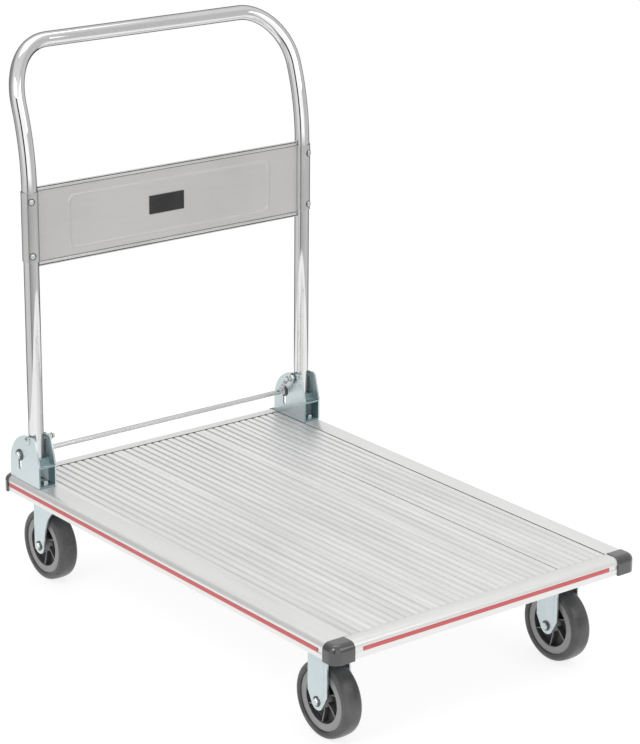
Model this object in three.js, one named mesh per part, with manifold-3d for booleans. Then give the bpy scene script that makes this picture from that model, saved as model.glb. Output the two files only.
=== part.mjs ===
// Folding platform cart: a ribbed aluminium deck on four casters, with a chromed tube handle that folds
// forward over the deck. Units are millimetres. +X is forward (the handle stands at -X), +Y is left and
// +Z is up. The origin is on the floor, under the middle of the cart's overall length and width.
import * as THREE from 'three';
import { mergeVertices } from 'three/addons/utils/BufferGeometryUtils.js';
import Module from 'manifold-3d';

const wasm = await Module();
wasm.setup();

// ---- driving dimensions -------------------------------------------------------------------------------

const GAP = 0.3; // running gap between pieces that touch
const HOLE_SIDES = 10; // sides of a bolt hole

// platform
const LENGTH = 914;
const WIDTH = 610;
const RAIL_BOTTOM = 169; // underside of the rails above the floor
const RAIL_TOP = 196.6;
const RAIL_EDGE_RADIUS = 10.5;
const RAIL_WALL = 2.2;
const CAP_STANDOUT = 2.5; // the corner caps stand this far outside the rails
const SIDE_RAIL_WIDTH = 40;
const FRONT_CAP = { length: 28.7, width: 40 }; // along the side rail, along the end rail
const REAR_CAP = { length: 18, width: 42.5 }; // shorter, to end behind the hinge bracket
const CAP_CORNER_RADIUS = 16.5;

// red inlay stripes
const STRIPE_HEIGHT = 6.4;
const STRIPE_THICKNESS = 1.2;
const SIDE_STRIPE_Z = 180.6;
const END_STRIPE_Z = 182.4;
const SIDE_STRIPE_ENDS = [-435, 414];
const END_STRIPE_HALF = 247;

// deck planks, from the right (-Y) side to the left: the widths fill the space between the side rails
const PLANK_SEAMS = [-262.5, -87.5, 87.5, 161, 262.5];
const PLANK_TOP = 196;
const PLANK_FOOT = 181.3; // underside of the planks' edge webs
const PLANK_SKIN = 2.4;
const PLANK_LAND = 4; // plain strip kept along each edge of a plank, at the least
const GROOVE_PITCH = 15;
const GROOVE_DEPTH = 1.2;
const GROOVE_TOP_HALF = 3.4; // half of a groove's width at the top and at the bottom
const GROOVE_BOTTOM_HALF = 1.4;

// under-deck beams: upward U channels between the side rails
const BEAM_TOP = 181;
const BEAM_WALL = 2.5;
const CASTER_BEAM_WIDTH = 90;
const MID_BEAM_WIDTH = 50;
const MID_BEAM_X = -15;

// casters
const WHEEL_RADIUS = 62.5;
const TYRE_WIDTH = 34;
const TYRE_INNER_RADIUS = 50;
const CASTER_Y = 233;
const FRONT_AXLE_X = 355;
const SWIVEL_X = -383;
const SWIVEL_TRAIL = 38; // the rear axles trail this far behind their kingpins
const PLATE_LENGTH = 84;
const PLATE_WIDTH = 64;
const PLATE_THICKNESS = 3.5;
const BOLT_SPACING_X = 66;
const BOLT_SPACING_Y = 45;
const CROWN_TOP = 157.5; // top of the swivel fork, under its bearing
const CROWN_THICKNESS = 3.5;
const KINGPIN_RADIUS = 6;
const LEG_THICKNESS = 3;
const LEG_GAP = 40; // between the two legs of a fork
const LEG_TIP_RADIUS = 14.5;
const AXLE_RADIUS = 4;
const BUSHING_RADIUS = 7;
const HUB_RADIUS = 13;

// handle
const TUBE_RADIUS = 12.7;
const TUBE_WALL = 1.5;
const HANDLE_X = -382;
const HANDLE_Y = 280;
const PIVOT_Z = 273.5;
const PIN_RADIUS = 4;
const TUBE_END_Z = 243; // lower cut end of the tube
const BEND_START_Z = 701.5; // above this height the legs lean back in one long curve
const BEND_RADIUS = 405;
const LEG_ARC = 244; // length of that curve, up to the top bar
const CORNER_SIDE = 85; // corner size along the top bar
const CORNER_UP = 104; // corner size along the leg
const HEEL_RADIUS = 37.1; // the tube's end plugs are rounded about the pivot

// hinge brackets
const CHEEK_THICKNESS = 3;
const BRACKET_GAP = 28; // between the two cheeks
const BRACKET_FRONT_X = -348.5;
const BRACKET_ARC_CENTRE = [-380.5, 223.5];
const BRACKET_ARC_RADIUS = 58;
const BRACKET_TOP_FRONT = [-364, 282];
const BRACKET_SLOPE_TOP = [-359.5, 277];
const BRACKET_SLOPE_FOOT = 236;
const BRACKET_BASE_THICKNESS = 3;
const SHELF_TOP = 234;
const SHELF_THICKNESS = 3;
const STOP_TOP = 243;
const BRACKET_BOLT_X = [-421, -361];

// foot-operated release bar
const BAR_RADIUS = 4;
const BAR_X = -408.5;
const BAR_Z = 241.5;
const BAR_TRAVEL = 22;
const SPRING_Y = 249.5;

// handle panel
const PANEL_TOP = 708.6;
const PANEL_BOTTOM = 572.8;
const PANEL_SHEET = 1.5;
const PANEL_FRONT_X = HANDLE_X + 2;
const HEM_HEIGHT = 9;
const HEM_THICKNESS = 3;
const COLLAR_TOP = 701.5;
const COLLAR_BOTTOM = 584;
const COLLAR_WALL = 1.3;
const LABEL_SIZE = [71, 32];
const LABEL_CENTRE = [-10.5, 641.8];

// ---- shared values worked out from the dimensions -----------------------------------------------------

const SEAM_Y = WIDTH / 2 - CAP_STANDOUT - SIDE_RAIL_WIDTH;
const RAIL_FACE_X = LENGTH / 2 - CAP_STANDOUT;
const RAIL_FACE_Y = WIDTH / 2 - CAP_STANDOUT;
const SEAM_X = LENGTH / 2 - FRONT_CAP.length;
const PLATE_TOP = RAIL_BOTTOM - GAP;
const PLATE_BOTTOM = PLATE_TOP - PLATE_THICKNESS;
const LEG_OUTER = LEG_GAP / 2 + LEG_THICKNESS;
const CHEEK_OUTER = BRACKET_GAP / 2 + CHEEK_THICKNESS;
const BRACKET_BOTTOM = RAIL_TOP + GAP;

// ---- geometry helpers ---------------------------------------------------------------------------------

function toManifold(geometry) {
  const bare = geometry.clone();
  bare.deleteAttribute('normal');
  bare.deleteAttribute('uv');
  const merged = mergeVertices(bare, 1e-4);
  const vertProperties = new Float32Array(merged.attributes.position.array);
  const triVerts = new Uint32Array(merged.index.array);
  return new wasm.Manifold(new wasm.Mesh({ numProp: 3, vertProperties, triVerts }));
}

function toGeometry(manifold) {
  const mesh = manifold.getMesh();
  const geometry = new THREE.BufferGeometry();
  geometry.setAttribute('position', new THREE.BufferAttribute(new Float32Array(mesh.vertProperties), 3));
  geometry.setIndex(new THREE.BufferAttribute(new Uint32Array(mesh.triVerts), 1));
  return geometry;
}

function joined(...geometries) {
  return toGeometry(geometries.map(toManifold).reduce((sum, next) => sum.add(next)));
}

function cut(geometry, ...tools) {
  return toGeometry(tools.map(toManifold).reduce((rest, tool) => rest.subtract(tool), toManifold(geometry)));
}

function common(...geometries) {
  return toGeometry(geometries.map(toManifold).reduce((rest, next) => rest.intersect(next)));
}

function shapeOf(points) {
  return new THREE.Shape(points.map(([a, b]) => new THREE.Vector2(a, b)));
}

function arc(cx, cy, radius, from, to, steps) {
  const points = [];
  for (let i = 0; i <= steps; i += 1) {
    const angle = from + ((to - from) * i) / steps;
    points.push([cx + radius * Math.cos(angle), cy + radius * Math.sin(angle)]);
  }
  return points;
}

function alongZ(points, z0, z1) {
  const geometry = new THREE.ExtrudeGeometry(shapeOf(points), { depth: z1 - z0, bevelEnabled: false });
  return geometry.translate(0, 0, z0);
}

// an outline in (y, z), extruded along X
function alongX(points, x0, x1) {
  const geometry = new THREE.ExtrudeGeometry(shapeOf(points), { depth: x1 - x0, bevelEnabled: false });
  const axes = new THREE.Matrix4().makeBasis(
    new THREE.Vector3(0, 1, 0),
    new THREE.Vector3(0, 0, 1),
    new THREE.Vector3(1, 0, 0),
  );
  return geometry.applyMatrix4(axes).translate(x0, 0, 0);
}

// an outline in (x, z), extruded along Y
function alongY(points, y0, y1) {
  const geometry = new THREE.ExtrudeGeometry(shapeOf(points), { depth: y1 - y0, bevelEnabled: false });
  return geometry.rotateX(Math.PI / 2).translate(0, y1, 0);
}

function box(x0, x1, y0, y1, z0, z1) {
  const geometry = new THREE.BoxGeometry(x1 - x0, y1 - y0, z1 - z0);
  return geometry.translate((x0 + x1) / 2, (y0 + y1) / 2, (z0 + z1) / 2);
}

// a cylinder along Y
function rodY(radius, y0, y1, x, z, sides = 16) {
  const geometry = new THREE.CylinderGeometry(radius, radius, y1 - y0, sides);
  return geometry.translate(x, (y0 + y1) / 2, z);
}

// a cylinder along Z
function rodZ(radius, z0, z1, x, y, sides = 16) {
  const geometry = new THREE.CylinderGeometry(radius, radius, z1 - z0, sides);
  return geometry.rotateX(Math.PI / 2).translate(x, y, (z0 + z1) / 2);
}

// a solid of revolution about Y through (x, z): profile points are [radius, y]
function turnedY(profile, sides, x = 0, z = 0) {
  const points = profile.map(([r, y]) => new THREE.Vector2(r, y));
  return new THREE.LatheGeometry(points, sides).translate(x, 0, z);
}

function ringY(outer, inner, y0, y1, sides, x = 0, z = 0) {
  const profile = [[inner, y0], [outer, y0], [outer, y1], [inner, y1], [inner, y0]];
  return turnedY(profile, sides, x, z);
}

// a mirror image, with each triangle turned over so that its faces still point outwards
function mirrored(geometry, signX, signY) {
  const copy = geometry.index ? geometry.toNonIndexed() : geometry.clone();
  copy.scale(signX, signY, 1);
  if (signX * signY < 0) {
    const { array } = copy.attributes.position;
    for (let i = 0; i < array.length; i += 9) {
      const second = array.slice(i + 3, i + 6);
      array.copyWithin(i + 3, i + 6, i + 9);
      array.set(second, i + 6);
    }
  }
  return copy;
}

const mirroredY = (geometry) => mirrored(geometry, 1, -1);

// ---- materials ----------------------------------------------------------------------------------------

function metal(color, roughness, metalness = 1) {
  return new THREE.MeshStandardMaterial({ color, roughness, metalness });
}

const aluminium = () => metal(0xdcdcda, 0.45);
const satinAluminium = () => metal(0xe6e6e3, 0.38);
const zinc = () => metal(0xcfdcdd, 0.32);
const chrome = () => metal(0xdadada, 0.12);
const steel = () => metal(0xb9bcbd, 0.35);
const greySheet = () => metal(0xbcbbb9, 0.5, 0.4);
const redPlastic = () => metal(0xc8474d, 0.5, 0);
const charcoal = () => metal(0x4a4a4c, 0.4, 0);
const greyPlastic = () => metal(0x98989a, 0.55, 0);
const rubber = () => metal(0x3f3f42, 0.75, 0);
const black = () => metal(0x1c1c1e, 0.4, 0);

// ---- assembly -----------------------------------------------------------------------------------------

const platform = new THREE.Group();

function add(parent, name, geometry, material, x = 0, y = 0, z = 0) {
  const mesh = new THREE.Mesh(geometry, material);
  mesh.name = name;
  mesh.position.set(x, y, z);
  parent.add(mesh);
  return mesh;
}

const SIDES = [['right', -1], ['left', 1]];

// ---- deck ---------------------------------------------------------------------------------------------

// An open channel: outer wall with a rolled lip, rounded top edge, flat top and an inner web. The outline
// is in (u, z) where u grows outward from the seam at 0 to the outer face at `width`.
function railOutline(width, stripeZ) {
  const lip = 12;
  const half = STRIPE_HEIGHT / 2 + GAP;
  const depth = STRIPE_THICKNESS;
  const innerArc = arc(width - RAIL_EDGE_RADIUS, RAIL_TOP - RAIL_EDGE_RADIUS,
    RAIL_EDGE_RADIUS - RAIL_WALL, Math.PI / 2, 0, 5);
  const outerArc = arc(width - RAIL_EDGE_RADIUS, RAIL_TOP - RAIL_EDGE_RADIUS,
    RAIL_EDGE_RADIUS, 0, Math.PI / 2, 7);
  return [
    [0, RAIL_BOTTOM],
    [RAIL_WALL, RAIL_BOTTOM],
    [RAIL_WALL, RAIL_TOP - RAIL_WALL],
    ...innerArc,
    [width - RAIL_WALL, RAIL_BOTTOM + RAIL_WALL],
    [width - lip, RAIL_BOTTOM + RAIL_WALL],
    [width - lip, RAIL_BOTTOM],
    [width, RAIL_BOTTOM],
    [width, stripeZ - half],
    [width - depth, stripeZ - half],
    [width - depth, stripeZ + half],
    [width, stripeZ + half],
    ...outerArc,
    [0, RAIL_TOP],
  ];
}

function sideRail(side) {
  const outline = railOutline(SIDE_RAIL_WIDTH, SIDE_STRIPE_Z).map(([u, z]) => [SEAM_Y + u, z]);
  const rearEnd = -LENGTH / 2 + REAR_CAP.length + GAP;
  const frontEnd = LENGTH / 2 - FRONT_CAP.length - GAP;
  let rail = alongX(outline, rearEnd, frontEnd);
  for (const x of BRACKET_BOLT_X) {
    rail = cut(rail, rodZ(PIN_RADIUS + GAP, RAIL_TOP - 5, RAIL_TOP + 5, x, HANDLE_Y, HOLE_SIDES));
  }
  return side > 0 ? rail : mirroredY(rail);
}

function endRail(end) {
  const width = RAIL_FACE_X - SEAM_X;
  const outline = railOutline(width, END_STRIPE_Z).map(([u, z]) => [SEAM_X + u, z]);
  const half = WIDTH / 2 - (end > 0 ? FRONT_CAP : REAR_CAP).width - GAP;
  return mirrored(alongY(outline, -half, half), end, 1);
}

function cornerCap(endSign, sideSign) {
  const x1 = LENGTH / 2;
  const y1 = WIDTH / 2;
  const { length, width } = endSign > 0 ? FRONT_CAP : REAR_CAP;
  const x0 = x1 - length;
  const y0 = y1 - width;
  const z0 = RAIL_BOTTOM - 1.5;
  const z1 = RAIL_TOP + 1;
  const edge = RAIL_EDGE_RADIUS + 2;
  const wall = 3.5;
  const corner = arc(x1 - CAP_CORNER_RADIUS, y1 - CAP_CORNER_RADIUS, CAP_CORNER_RADIUS, 0, Math.PI / 2, 8);
  const plan = alongZ([[x0, y0], [x1, y0], ...corner, [x0, y1]], z0, z1);
  const roundX = arc(x1 - edge, z1 - edge, edge, 0, Math.PI / 2, 7);
  const acrossY = alongY([[x0, z0], [x1, z0], ...roundX, [x0, z1]], y0, y1);
  const roundY = arc(y1 - edge, z1 - edge, edge, 0, Math.PI / 2, 7);
  const acrossX = alongX([[y0, z0], [y1, z0], ...roundY, [y0, z1]], x0, x1);
  const hollow = box(x0 + wall, x1 - 2 * wall, y0 + wall, y1 - 2 * wall, z0 - 1, z1 - 2 * wall);
  const cap = cut(common(plan, acrossY, acrossX), hollow);
  return mirrored(cap, endSign, sideSign);
}

// A thin ribbed extrusion on two edge webs with feet. The outline is in (y, z).
function plankOutline(y0, y1) {
  const foot = 9;
  const web = 2.2;
  const skin = PLANK_TOP - PLANK_SKIN - GROOVE_DEPTH;
  const chamfer = 0.5;
  const grooves = Math.floor((y1 - y0 - 2 * PLANK_LAND) / GROOVE_PITCH);
  const bottom = PLANK_TOP - GROOVE_DEPTH;
  const first = (y0 + y1) / 2 - ((grooves - 1) * GROOVE_PITCH) / 2;
  const points = [
    [y0, PLANK_FOOT],
    [y0 + foot, PLANK_FOOT],
    [y0 + foot, PLANK_FOOT + web],
    [y0 + web, PLANK_FOOT + web],
    [y0 + web, skin],
    [y1 - web, skin],
    [y1 - web, PLANK_FOOT + web],
    [y1 - foot, PLANK_FOOT + web],
    [y1 - foot, PLANK_FOOT],
    [y1, PLANK_FOOT],
    [y1, PLANK_TOP - chamfer],
    [y1 - chamfer, PLANK_TOP],
  ];
  for (let i = grooves - 1; i >= 0; i -= 1) {
    const y = first + i * GROOVE_PITCH;
    points.push([y + GROOVE_TOP_HALF, PLANK_TOP], [y + GROOVE_BOTTOM_HALF, bottom]);
    points.push([y - GROOVE_BOTTOM_HALF, bottom], [y - GROOVE_TOP_HALF, PLANK_TOP]);
  }
  points.push([y0 + chamfer, PLANK_TOP], [y0, PLANK_TOP - chamfer]);
  return points;
}

// an upward U channel between the side rails, with bolt holes for the casters that hang from it
function beam(width, x, boltXs) {
  const half = width / 2;
  const outline = [
    [x - half, RAIL_BOTTOM],
    [x + half, RAIL_BOTTOM],
    [x + half, BEAM_TOP],
    [x + half - BEAM_WALL, BEAM_TOP],
    [x + half - BEAM_WALL, RAIL_BOTTOM + BEAM_WALL],
    [x - half + BEAM_WALL, RAIL_BOTTOM + BEAM_WALL],
    [x - half + BEAM_WALL, BEAM_TOP],
    [x - half, BEAM_TOP],
  ];
  const channel = alongY(outline, -SEAM_Y + GAP, SEAM_Y - GAP);
  const holes = casterBoltPoints(boltXs).map(([hx, hy]) =>
    rodZ(PIN_RADIUS + GAP, RAIL_BOTTOM - 5, RAIL_BOTTOM + 8, hx, hy, HOLE_SIDES));
  return holes.length ? cut(channel, ...holes) : channel;
}

function casterBoltPoints(centresX) {
  const points = [];
  for (const x of centresX) {
    for (const dx of [-BOLT_SPACING_X / 2, BOLT_SPACING_X / 2]) {
      for (const side of [-1, 1]) {
        for (const dy of [-BOLT_SPACING_Y / 2, BOLT_SPACING_Y / 2]) {
          points.push([x + dx, side * CASTER_Y + dy]);
        }
      }
    }
  }
  return points;
}

function makeDeck() {
  for (let i = 0; i < PLANK_SEAMS.length - 1; i += 1) {
    const outline = plankOutline(PLANK_SEAMS[i] + GAP / 2 + 0.1, PLANK_SEAMS[i + 1] - GAP / 2 - 0.1);
    add(platform, `deck_plank_${i + 1}`, alongX(outline, -SEAM_X + 0.8, SEAM_X - 0.8), aluminium());
  }
  for (const [side, sign] of SIDES) {
    add(platform, `side_rail_${side}`, sideRail(sign), satinAluminium());
    const inner = sign * (RAIL_FACE_Y - STRIPE_THICKNESS + GAP);
    const outer = sign * (RAIL_FACE_Y + GAP);
    const y0 = Math.min(inner, outer);
    const y1 = Math.max(inner, outer);
    const [x0, x1] = SIDE_STRIPE_ENDS;
    const stripe = box(x0, x1, y0, y1, SIDE_STRIPE_Z - STRIPE_HEIGHT / 2, SIDE_STRIPE_Z + STRIPE_HEIGHT / 2);
    add(platform, `side_stripe_${side}`, stripe, redPlastic());
  }
  for (const [end, sign] of [['rear', -1], ['front', 1]]) {
    add(platform, `end_rail_${end}`, endRail(sign), satinAluminium());
    const inner = sign * (RAIL_FACE_X - STRIPE_THICKNESS + GAP);
    const outer = sign * (RAIL_FACE_X + GAP);
    const x0 = Math.min(inner, outer);
    const x1 = Math.max(inner, outer);
    const low = END_STRIPE_Z - STRIPE_HEIGHT / 2;
    const stripe = box(x0, x1, -END_STRIPE_HALF, END_STRIPE_HALF, low, low + STRIPE_HEIGHT);
    add(platform, `end_stripe_${end}`, stripe, redPlastic());
    for (const [side, sideSign] of SIDES) {
      add(platform, `corner_cap_${end}_${side}`, cornerCap(sign, sideSign), charcoal());
    }
  }
  add(platform, 'caster_beam_front', beam(CASTER_BEAM_WIDTH, FRONT_AXLE_X, [FRONT_AXLE_X]), aluminium());
  add(platform, 'caster_beam_rear', beam(CASTER_BEAM_WIDTH, SWIVEL_X, [SWIVEL_X]), aluminium());
  add(platform, 'middle_beam', beam(MID_BEAM_WIDTH, MID_BEAM_X, []), aluminium());
}

// ---- casters ------------------------------------------------------------------------------------------

// Every caster is built about its own wheel centre line: x and y are 0 at the axle, z is the real height.

function plateWithHoles(x) {
  const plate = box(x - PLATE_LENGTH / 2, x + PLATE_LENGTH / 2, -PLATE_WIDTH / 2, PLATE_WIDTH / 2,
    PLATE_BOTTOM, PLATE_TOP);
  const holes = [];
  for (const dx of [-BOLT_SPACING_X / 2, BOLT_SPACING_X / 2]) {
    for (const dy of [-BOLT_SPACING_Y / 2, BOLT_SPACING_Y / 2]) {
      holes.push(rodZ(PIN_RADIUS + GAP, PLATE_BOTTOM - 3, PLATE_TOP + 3, x + dx, dy, HOLE_SIDES));
    }
  }
  return cut(plate, ...holes);
}

function pairOfLegs(outline) {
  return [alongY(outline, LEG_GAP / 2, LEG_OUTER), alongY(outline, -LEG_OUTER, -LEG_GAP / 2)];
}

function axleHole() {
  return rodY(AXLE_RADIUS + GAP, -LEG_OUTER - 3, LEG_OUTER + 3, 0, WHEEL_RADIUS, 12);
}

// straight-sided legs with a rounded tip, pressed from one sheet with the top plate
function rigidFrame() {
  const halfWidth = 23.5;
  const tip = arc(0, WHEEL_RADIUS, LEG_TIP_RADIUS, -Math.PI + 0.35, -0.35, 9);
  const outline = [
    ...tip,
    [halfWidth, WHEEL_RADIUS + 13],
    [halfWidth, PLATE_BOTTOM + 1],
    [-halfWidth, PLATE_BOTTOM + 1],
    [-halfWidth, WHEEL_RADIUS + 13],
  ];
  return cut(joined(plateWithHoles(0), ...pairOfLegs(outline)), axleHole());
}

// legs that sweep forward from the trailing axle to a crown under the kingpin
function swivelFork() {
  const rear = -LEG_TIP_RADIUS;
  const front = SWIVEL_TRAIL + 26;
  const crownBottom = CROWN_TOP - CROWN_THICKNESS;
  const sweep = new THREE.QuadraticBezierCurve(
    new THREE.Vector2(LEG_TIP_RADIUS + 4, WHEEL_RADIUS + 22),
    new THREE.Vector2(LEG_TIP_RADIUS + 10, crownBottom - 22),
    new THREE.Vector2(front, crownBottom - 9),
  ).getPoints(7).map((point) => [point.x, point.y]);
  const outline = [
    ...arc(0, WHEEL_RADIUS, LEG_TIP_RADIUS, -Math.PI, 0, 10),
    ...sweep,
    [front, CROWN_TOP],
    [rear, CROWN_TOP],
  ];
  const crown = box(rear, front, -LEG_OUTER, LEG_OUTER, crownBottom, CROWN_TOP);
  const race = rodZ(30, crownBottom, CROWN_TOP, SWIVEL_TRAIL, 0, 24);
  const pinHole = rodZ(KINGPIN_RADIUS + GAP, crownBottom - 5, CROWN_TOP + 5, SWIVEL_TRAIL, 0, 20);
  return cut(joined(crown, race, ...pairOfLegs(outline)), axleHole(), pinHole);
}

function swivelPlate() {
  const recess = rodZ(KINGPIN_RADIUS + GAP, PLATE_BOTTOM - 3, PLATE_TOP + 3, SWIVEL_TRAIL, 0, 20);
  return cut(plateWithHoles(SWIVEL_TRAIL), recess);
}

function swivelBearing() {
  const height = PLATE_BOTTOM - CROWN_TOP - 2 * GAP;
  const ring = ringY(28, 17, -height / 2, height / 2, 24);
  return ring.rotateX(Math.PI / 2).translate(SWIVEL_TRAIL, 0, (PLATE_BOTTOM + CROWN_TOP) / 2);
}

function kingpin() {
  const nutTop = CROWN_TOP - CROWN_THICKNESS - GAP;
  const nut = rodZ(10, nutTop - 7, nutTop, SWIVEL_TRAIL, 0, 6);
  const shank = rodZ(KINGPIN_RADIUS, nutTop - 4, PLATE_TOP - 0.2, SWIVEL_TRAIL, 0, 16);
  return joined(nut, shank);
}

// the bolt with its head outside one leg and its nut, screwed tight, outside the other
function axleBolt() {
  const face = LEG_OUTER + GAP;
  const shank = rodY(AXLE_RADIUS, -face - 4, face + 9, 0, WHEEL_RADIUS, 16);
  const head = rodY(7.2, -face - 5, -face, 0, WHEEL_RADIUS, 6);
  const nut = rodY(7.2, face, face + 6.5, 0, WHEEL_RADIUS, 6);
  return joined(shank, head, nut);
}

function tyre() {
  const half = TYRE_WIDTH / 2;
  const profile = [
    [TYRE_INNER_RADIUS, -half + 1.5],
    [WHEEL_RADIUS - 7, -half],
    [WHEEL_RADIUS - 2.6, -half + 3.2],
    [WHEEL_RADIUS, -half + 9],
    [WHEEL_RADIUS, half - 9],
    [WHEEL_RADIUS - 2.6, half - 3.2],
    [WHEEL_RADIUS - 7, half],
    [TYRE_INNER_RADIUS, half - 1.5],
    [TYRE_INNER_RADIUS, -half + 1.5],
  ];
  return turnedY(profile, 32, 0, WHEEL_RADIUS);
}

// a curved rib from the hub to the rim ring, standing on both sides of the web
function spoke(angle) {
  const curve = new THREE.QuadraticBezierCurve(
    new THREE.Vector2(HUB_RADIUS - 1.5, 0),
    new THREE.Vector2(25, 9),
    new THREE.Vector2(38.5, 5),
  ).getPoints(3);
  const left = curve.map((point) => [point.x, point.y + 1.2]);
  const right = curve.map((point) => [point.x, point.y - 1.2]).reverse();
  return alongY([...right, ...left].reverse(), -12.5, 12.5).rotateY(angle);
}

function rim() {
  const hub = 19.2;
  const outer = TYRE_INNER_RADIUS - GAP;
  const bore = BUSHING_RADIUS + GAP;
  const profile = [
    [bore, -hub], [HUB_RADIUS, -hub], [HUB_RADIUS, -2.5], [37.5, -2.5], [37.5, -15], [outer, -15],
    [outer, 15], [37.5, 15], [37.5, 2.5], [HUB_RADIUS, 2.5], [HUB_RADIUS, hub], [bore, hub], [bore, -hub],
  ];
  const spokes = [0, 1, 2, 3, 4, 5].map((i) => spoke((i * Math.PI) / 3));
  return joined(turnedY(profile, 24), ...spokes).translate(0, 0, WHEEL_RADIUS);
}

function bushing() {
  return ringY(BUSHING_RADIUS, AXLE_RADIUS + GAP, -LEG_GAP / 2 + GAP, LEG_GAP / 2 - GAP, 14, 0, WHEEL_RADIUS);
}

function addWheel(caster, name) {
  add(caster, `${name}_axle_bolt`, axleBolt(), zinc());
  add(caster, `${name}_bushing`, bushing(), steel());
  add(caster, `${name}_rim`, rim(), greyPlastic());
  add(caster, `${name}_tyre`, tyre(), rubber());
}

function makeCasters() {
  for (const [side, sign] of SIDES) {
    const front = new THREE.Group();
    front.position.set(FRONT_AXLE_X, sign * CASTER_Y, 0);
    add(front, `front_${side}_caster_frame`, rigidFrame(), zinc());
    addWheel(front, `front_${side}`);
    const rear = new THREE.Group();
    rear.position.set(SWIVEL_X - SWIVEL_TRAIL, sign * CASTER_Y, 0);
    add(rear, `rear_${side}_swivel_plate`, swivelPlate(), zinc());
    add(rear, `rear_${side}_swivel_bearing`, swivelBearing(), steel());
    add(rear, `rear_${side}_kingpin`, kingpin(), steel());
    add(rear, `rear_${side}_swivel_fork`, swivelFork(), zinc());
    addWheel(rear, `rear_${side}`);
    platform.add(front, rear);
  }
}

// ---- hinge brackets and release bar -------------------------------------------------------------------

function cheekOutline() {
  const [cx, cz] = BRACKET_ARC_CENTRE;
  return [
    [BRACKET_FRONT_X, BRACKET_BOTTOM],
    [BRACKET_FRONT_X, BRACKET_SLOPE_FOOT],
    BRACKET_SLOPE_TOP,
    BRACKET_TOP_FRONT,
    ...arc(cx, cz, BRACKET_ARC_RADIUS, Math.PI / 2, Math.PI, 12),
    [cx - BRACKET_ARC_RADIUS, BRACKET_BOTTOM],
  ];
}

function slotOutline() {
  const radius = BAR_RADIUS + GAP;
  return [
    ...arc(BAR_X, BAR_Z, radius, 0, Math.PI, 8),
    ...arc(BAR_X, BAR_Z - BAR_TRAVEL, radius, Math.PI, 2 * Math.PI, 8),
  ];
}

// Two cheeks on a base plate, joined in front by a shelf whose rear edge turns up: the tube's front rests
// against that edge when the handle stands upright.
function hingeBracket() {
  const half = BRACKET_GAP / 2;
  const rearX = BRACKET_ARC_CENTRE[0] - BRACKET_ARC_RADIUS;
  const tubeFront = HANDLE_X + TUBE_RADIUS + GAP;
  const cheeks = [alongY(cheekOutline(), half, CHEEK_OUTER), alongY(cheekOutline(), -CHEEK_OUTER, -half)];
  const baseTop = BRACKET_BOTTOM + BRACKET_BASE_THICKNESS;
  const base = box(rearX, BRACKET_FRONT_X, -half - 1, half + 1, BRACKET_BOTTOM, baseTop);
  const shelf = alongY([
    [BRACKET_FRONT_X, SHELF_TOP - SHELF_THICKNESS],
    [BRACKET_FRONT_X, SHELF_TOP],
    [tubeFront + SHELF_THICKNESS, SHELF_TOP],
    [tubeFront + SHELF_THICKNESS, STOP_TOP],
    [tubeFront, STOP_TOP],
    [tubeFront, SHELF_TOP - SHELF_THICKNESS],
  ], -half - 1, half + 1);
  const slot = alongY(slotOutline(), -CHEEK_OUTER - 3, CHEEK_OUTER + 3);
  const pinHole = rodY(PIN_RADIUS + GAP, -CHEEK_OUTER - 3, CHEEK_OUTER + 3, HANDLE_X, PIVOT_Z, 16);
  const boltHoles = BRACKET_BOLT_X.map((x) =>
    rodZ(PIN_RADIUS + GAP, BRACKET_BOTTOM - 2, baseTop + 2, x, 0, HOLE_SIDES));
  return cut(joined(...cheeks, base, shelf), slot, pinHole, ...boltHoles);
}

// shank with a low round head outside the bracket and a long inner end that holds the return spring
function pivotPin(sign) {
  const head = HANDLE_Y + CHEEK_OUTER + GAP;
  const pin = joined(
    rodY(PIN_RADIUS, SPRING_Y - 4.5, head + 1, HANDLE_X, PIVOT_Z, 16),
    rodY(7, head, head + 3, HANDLE_X, PIVOT_Z, 16),
  );
  return mirrored(pin, 1, sign);
}

// a long rod with a hex shoulder nut locked on it inside each bracket
function releaseBar() {
  const barEnd = HANDLE_Y + CHEEK_OUTER + GAP + 7.5;
  const inner = HANDLE_Y - CHEEK_OUTER - GAP;
  const shoulder = rodY(7.5, inner - 6, inner, BAR_X, BAR_Z, 6);
  return joined(rodY(BAR_RADIUS, -barEnd, barEnd, BAR_X, BAR_Z, 20), shoulder, mirroredY(shoulder));
}

// a flanged hex nut outside the bracket
function releaseBarNut(sign) {
  const face = HANDLE_Y + CHEEK_OUTER + GAP;
  const nut = joined(
    rodY(10, face, face + 1.8, BAR_X, BAR_Z, 24),
    rodY(7.5, face + 1, face + 6.8, BAR_X, BAR_Z, 6),
  );
  return mirrored(cut(nut, rodY(BAR_RADIUS + GAP, face - 3, face + 10, BAR_X, BAR_Z, 20)), 1, sign);
}

// plain body of the extension spring between the pivot pin and the release bar
function returnSpring(sign) {
  const dx = BAR_X - HANDLE_X;
  const dz = BAR_Z - PIVOT_Z;
  const length = Math.hypot(dx, dz) - PIN_RADIUS - BAR_RADIUS - 2 * 0.8;
  const spring = new THREE.CylinderGeometry(3.4, 3.4, length, 10).rotateX(Math.PI / 2);
  const tilt = Math.atan2(dx, dz);
  return spring.rotateY(tilt).translate(HANDLE_X + dx / 2, sign * SPRING_Y, PIVOT_Z + dz / 2);
}

function makeHinges() {
  for (const [side, sign] of SIDES) {
    add(platform, `hinge_bracket_${side}`, hingeBracket(), zinc(), 0, sign * HANDLE_Y, 0);
    add(platform, `pivot_pin_${side}`, pivotPin(sign), zinc());
    add(platform, `release_bar_nut_${side}`, releaseBarNut(sign), zinc());
    add(platform, `return_spring_${side}`, returnSpring(sign), steel());
  }
  add(platform, 'release_bar', releaseBar(), chrome());
}

// ---- handle -------------------------------------------------------------------------------------------

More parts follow.
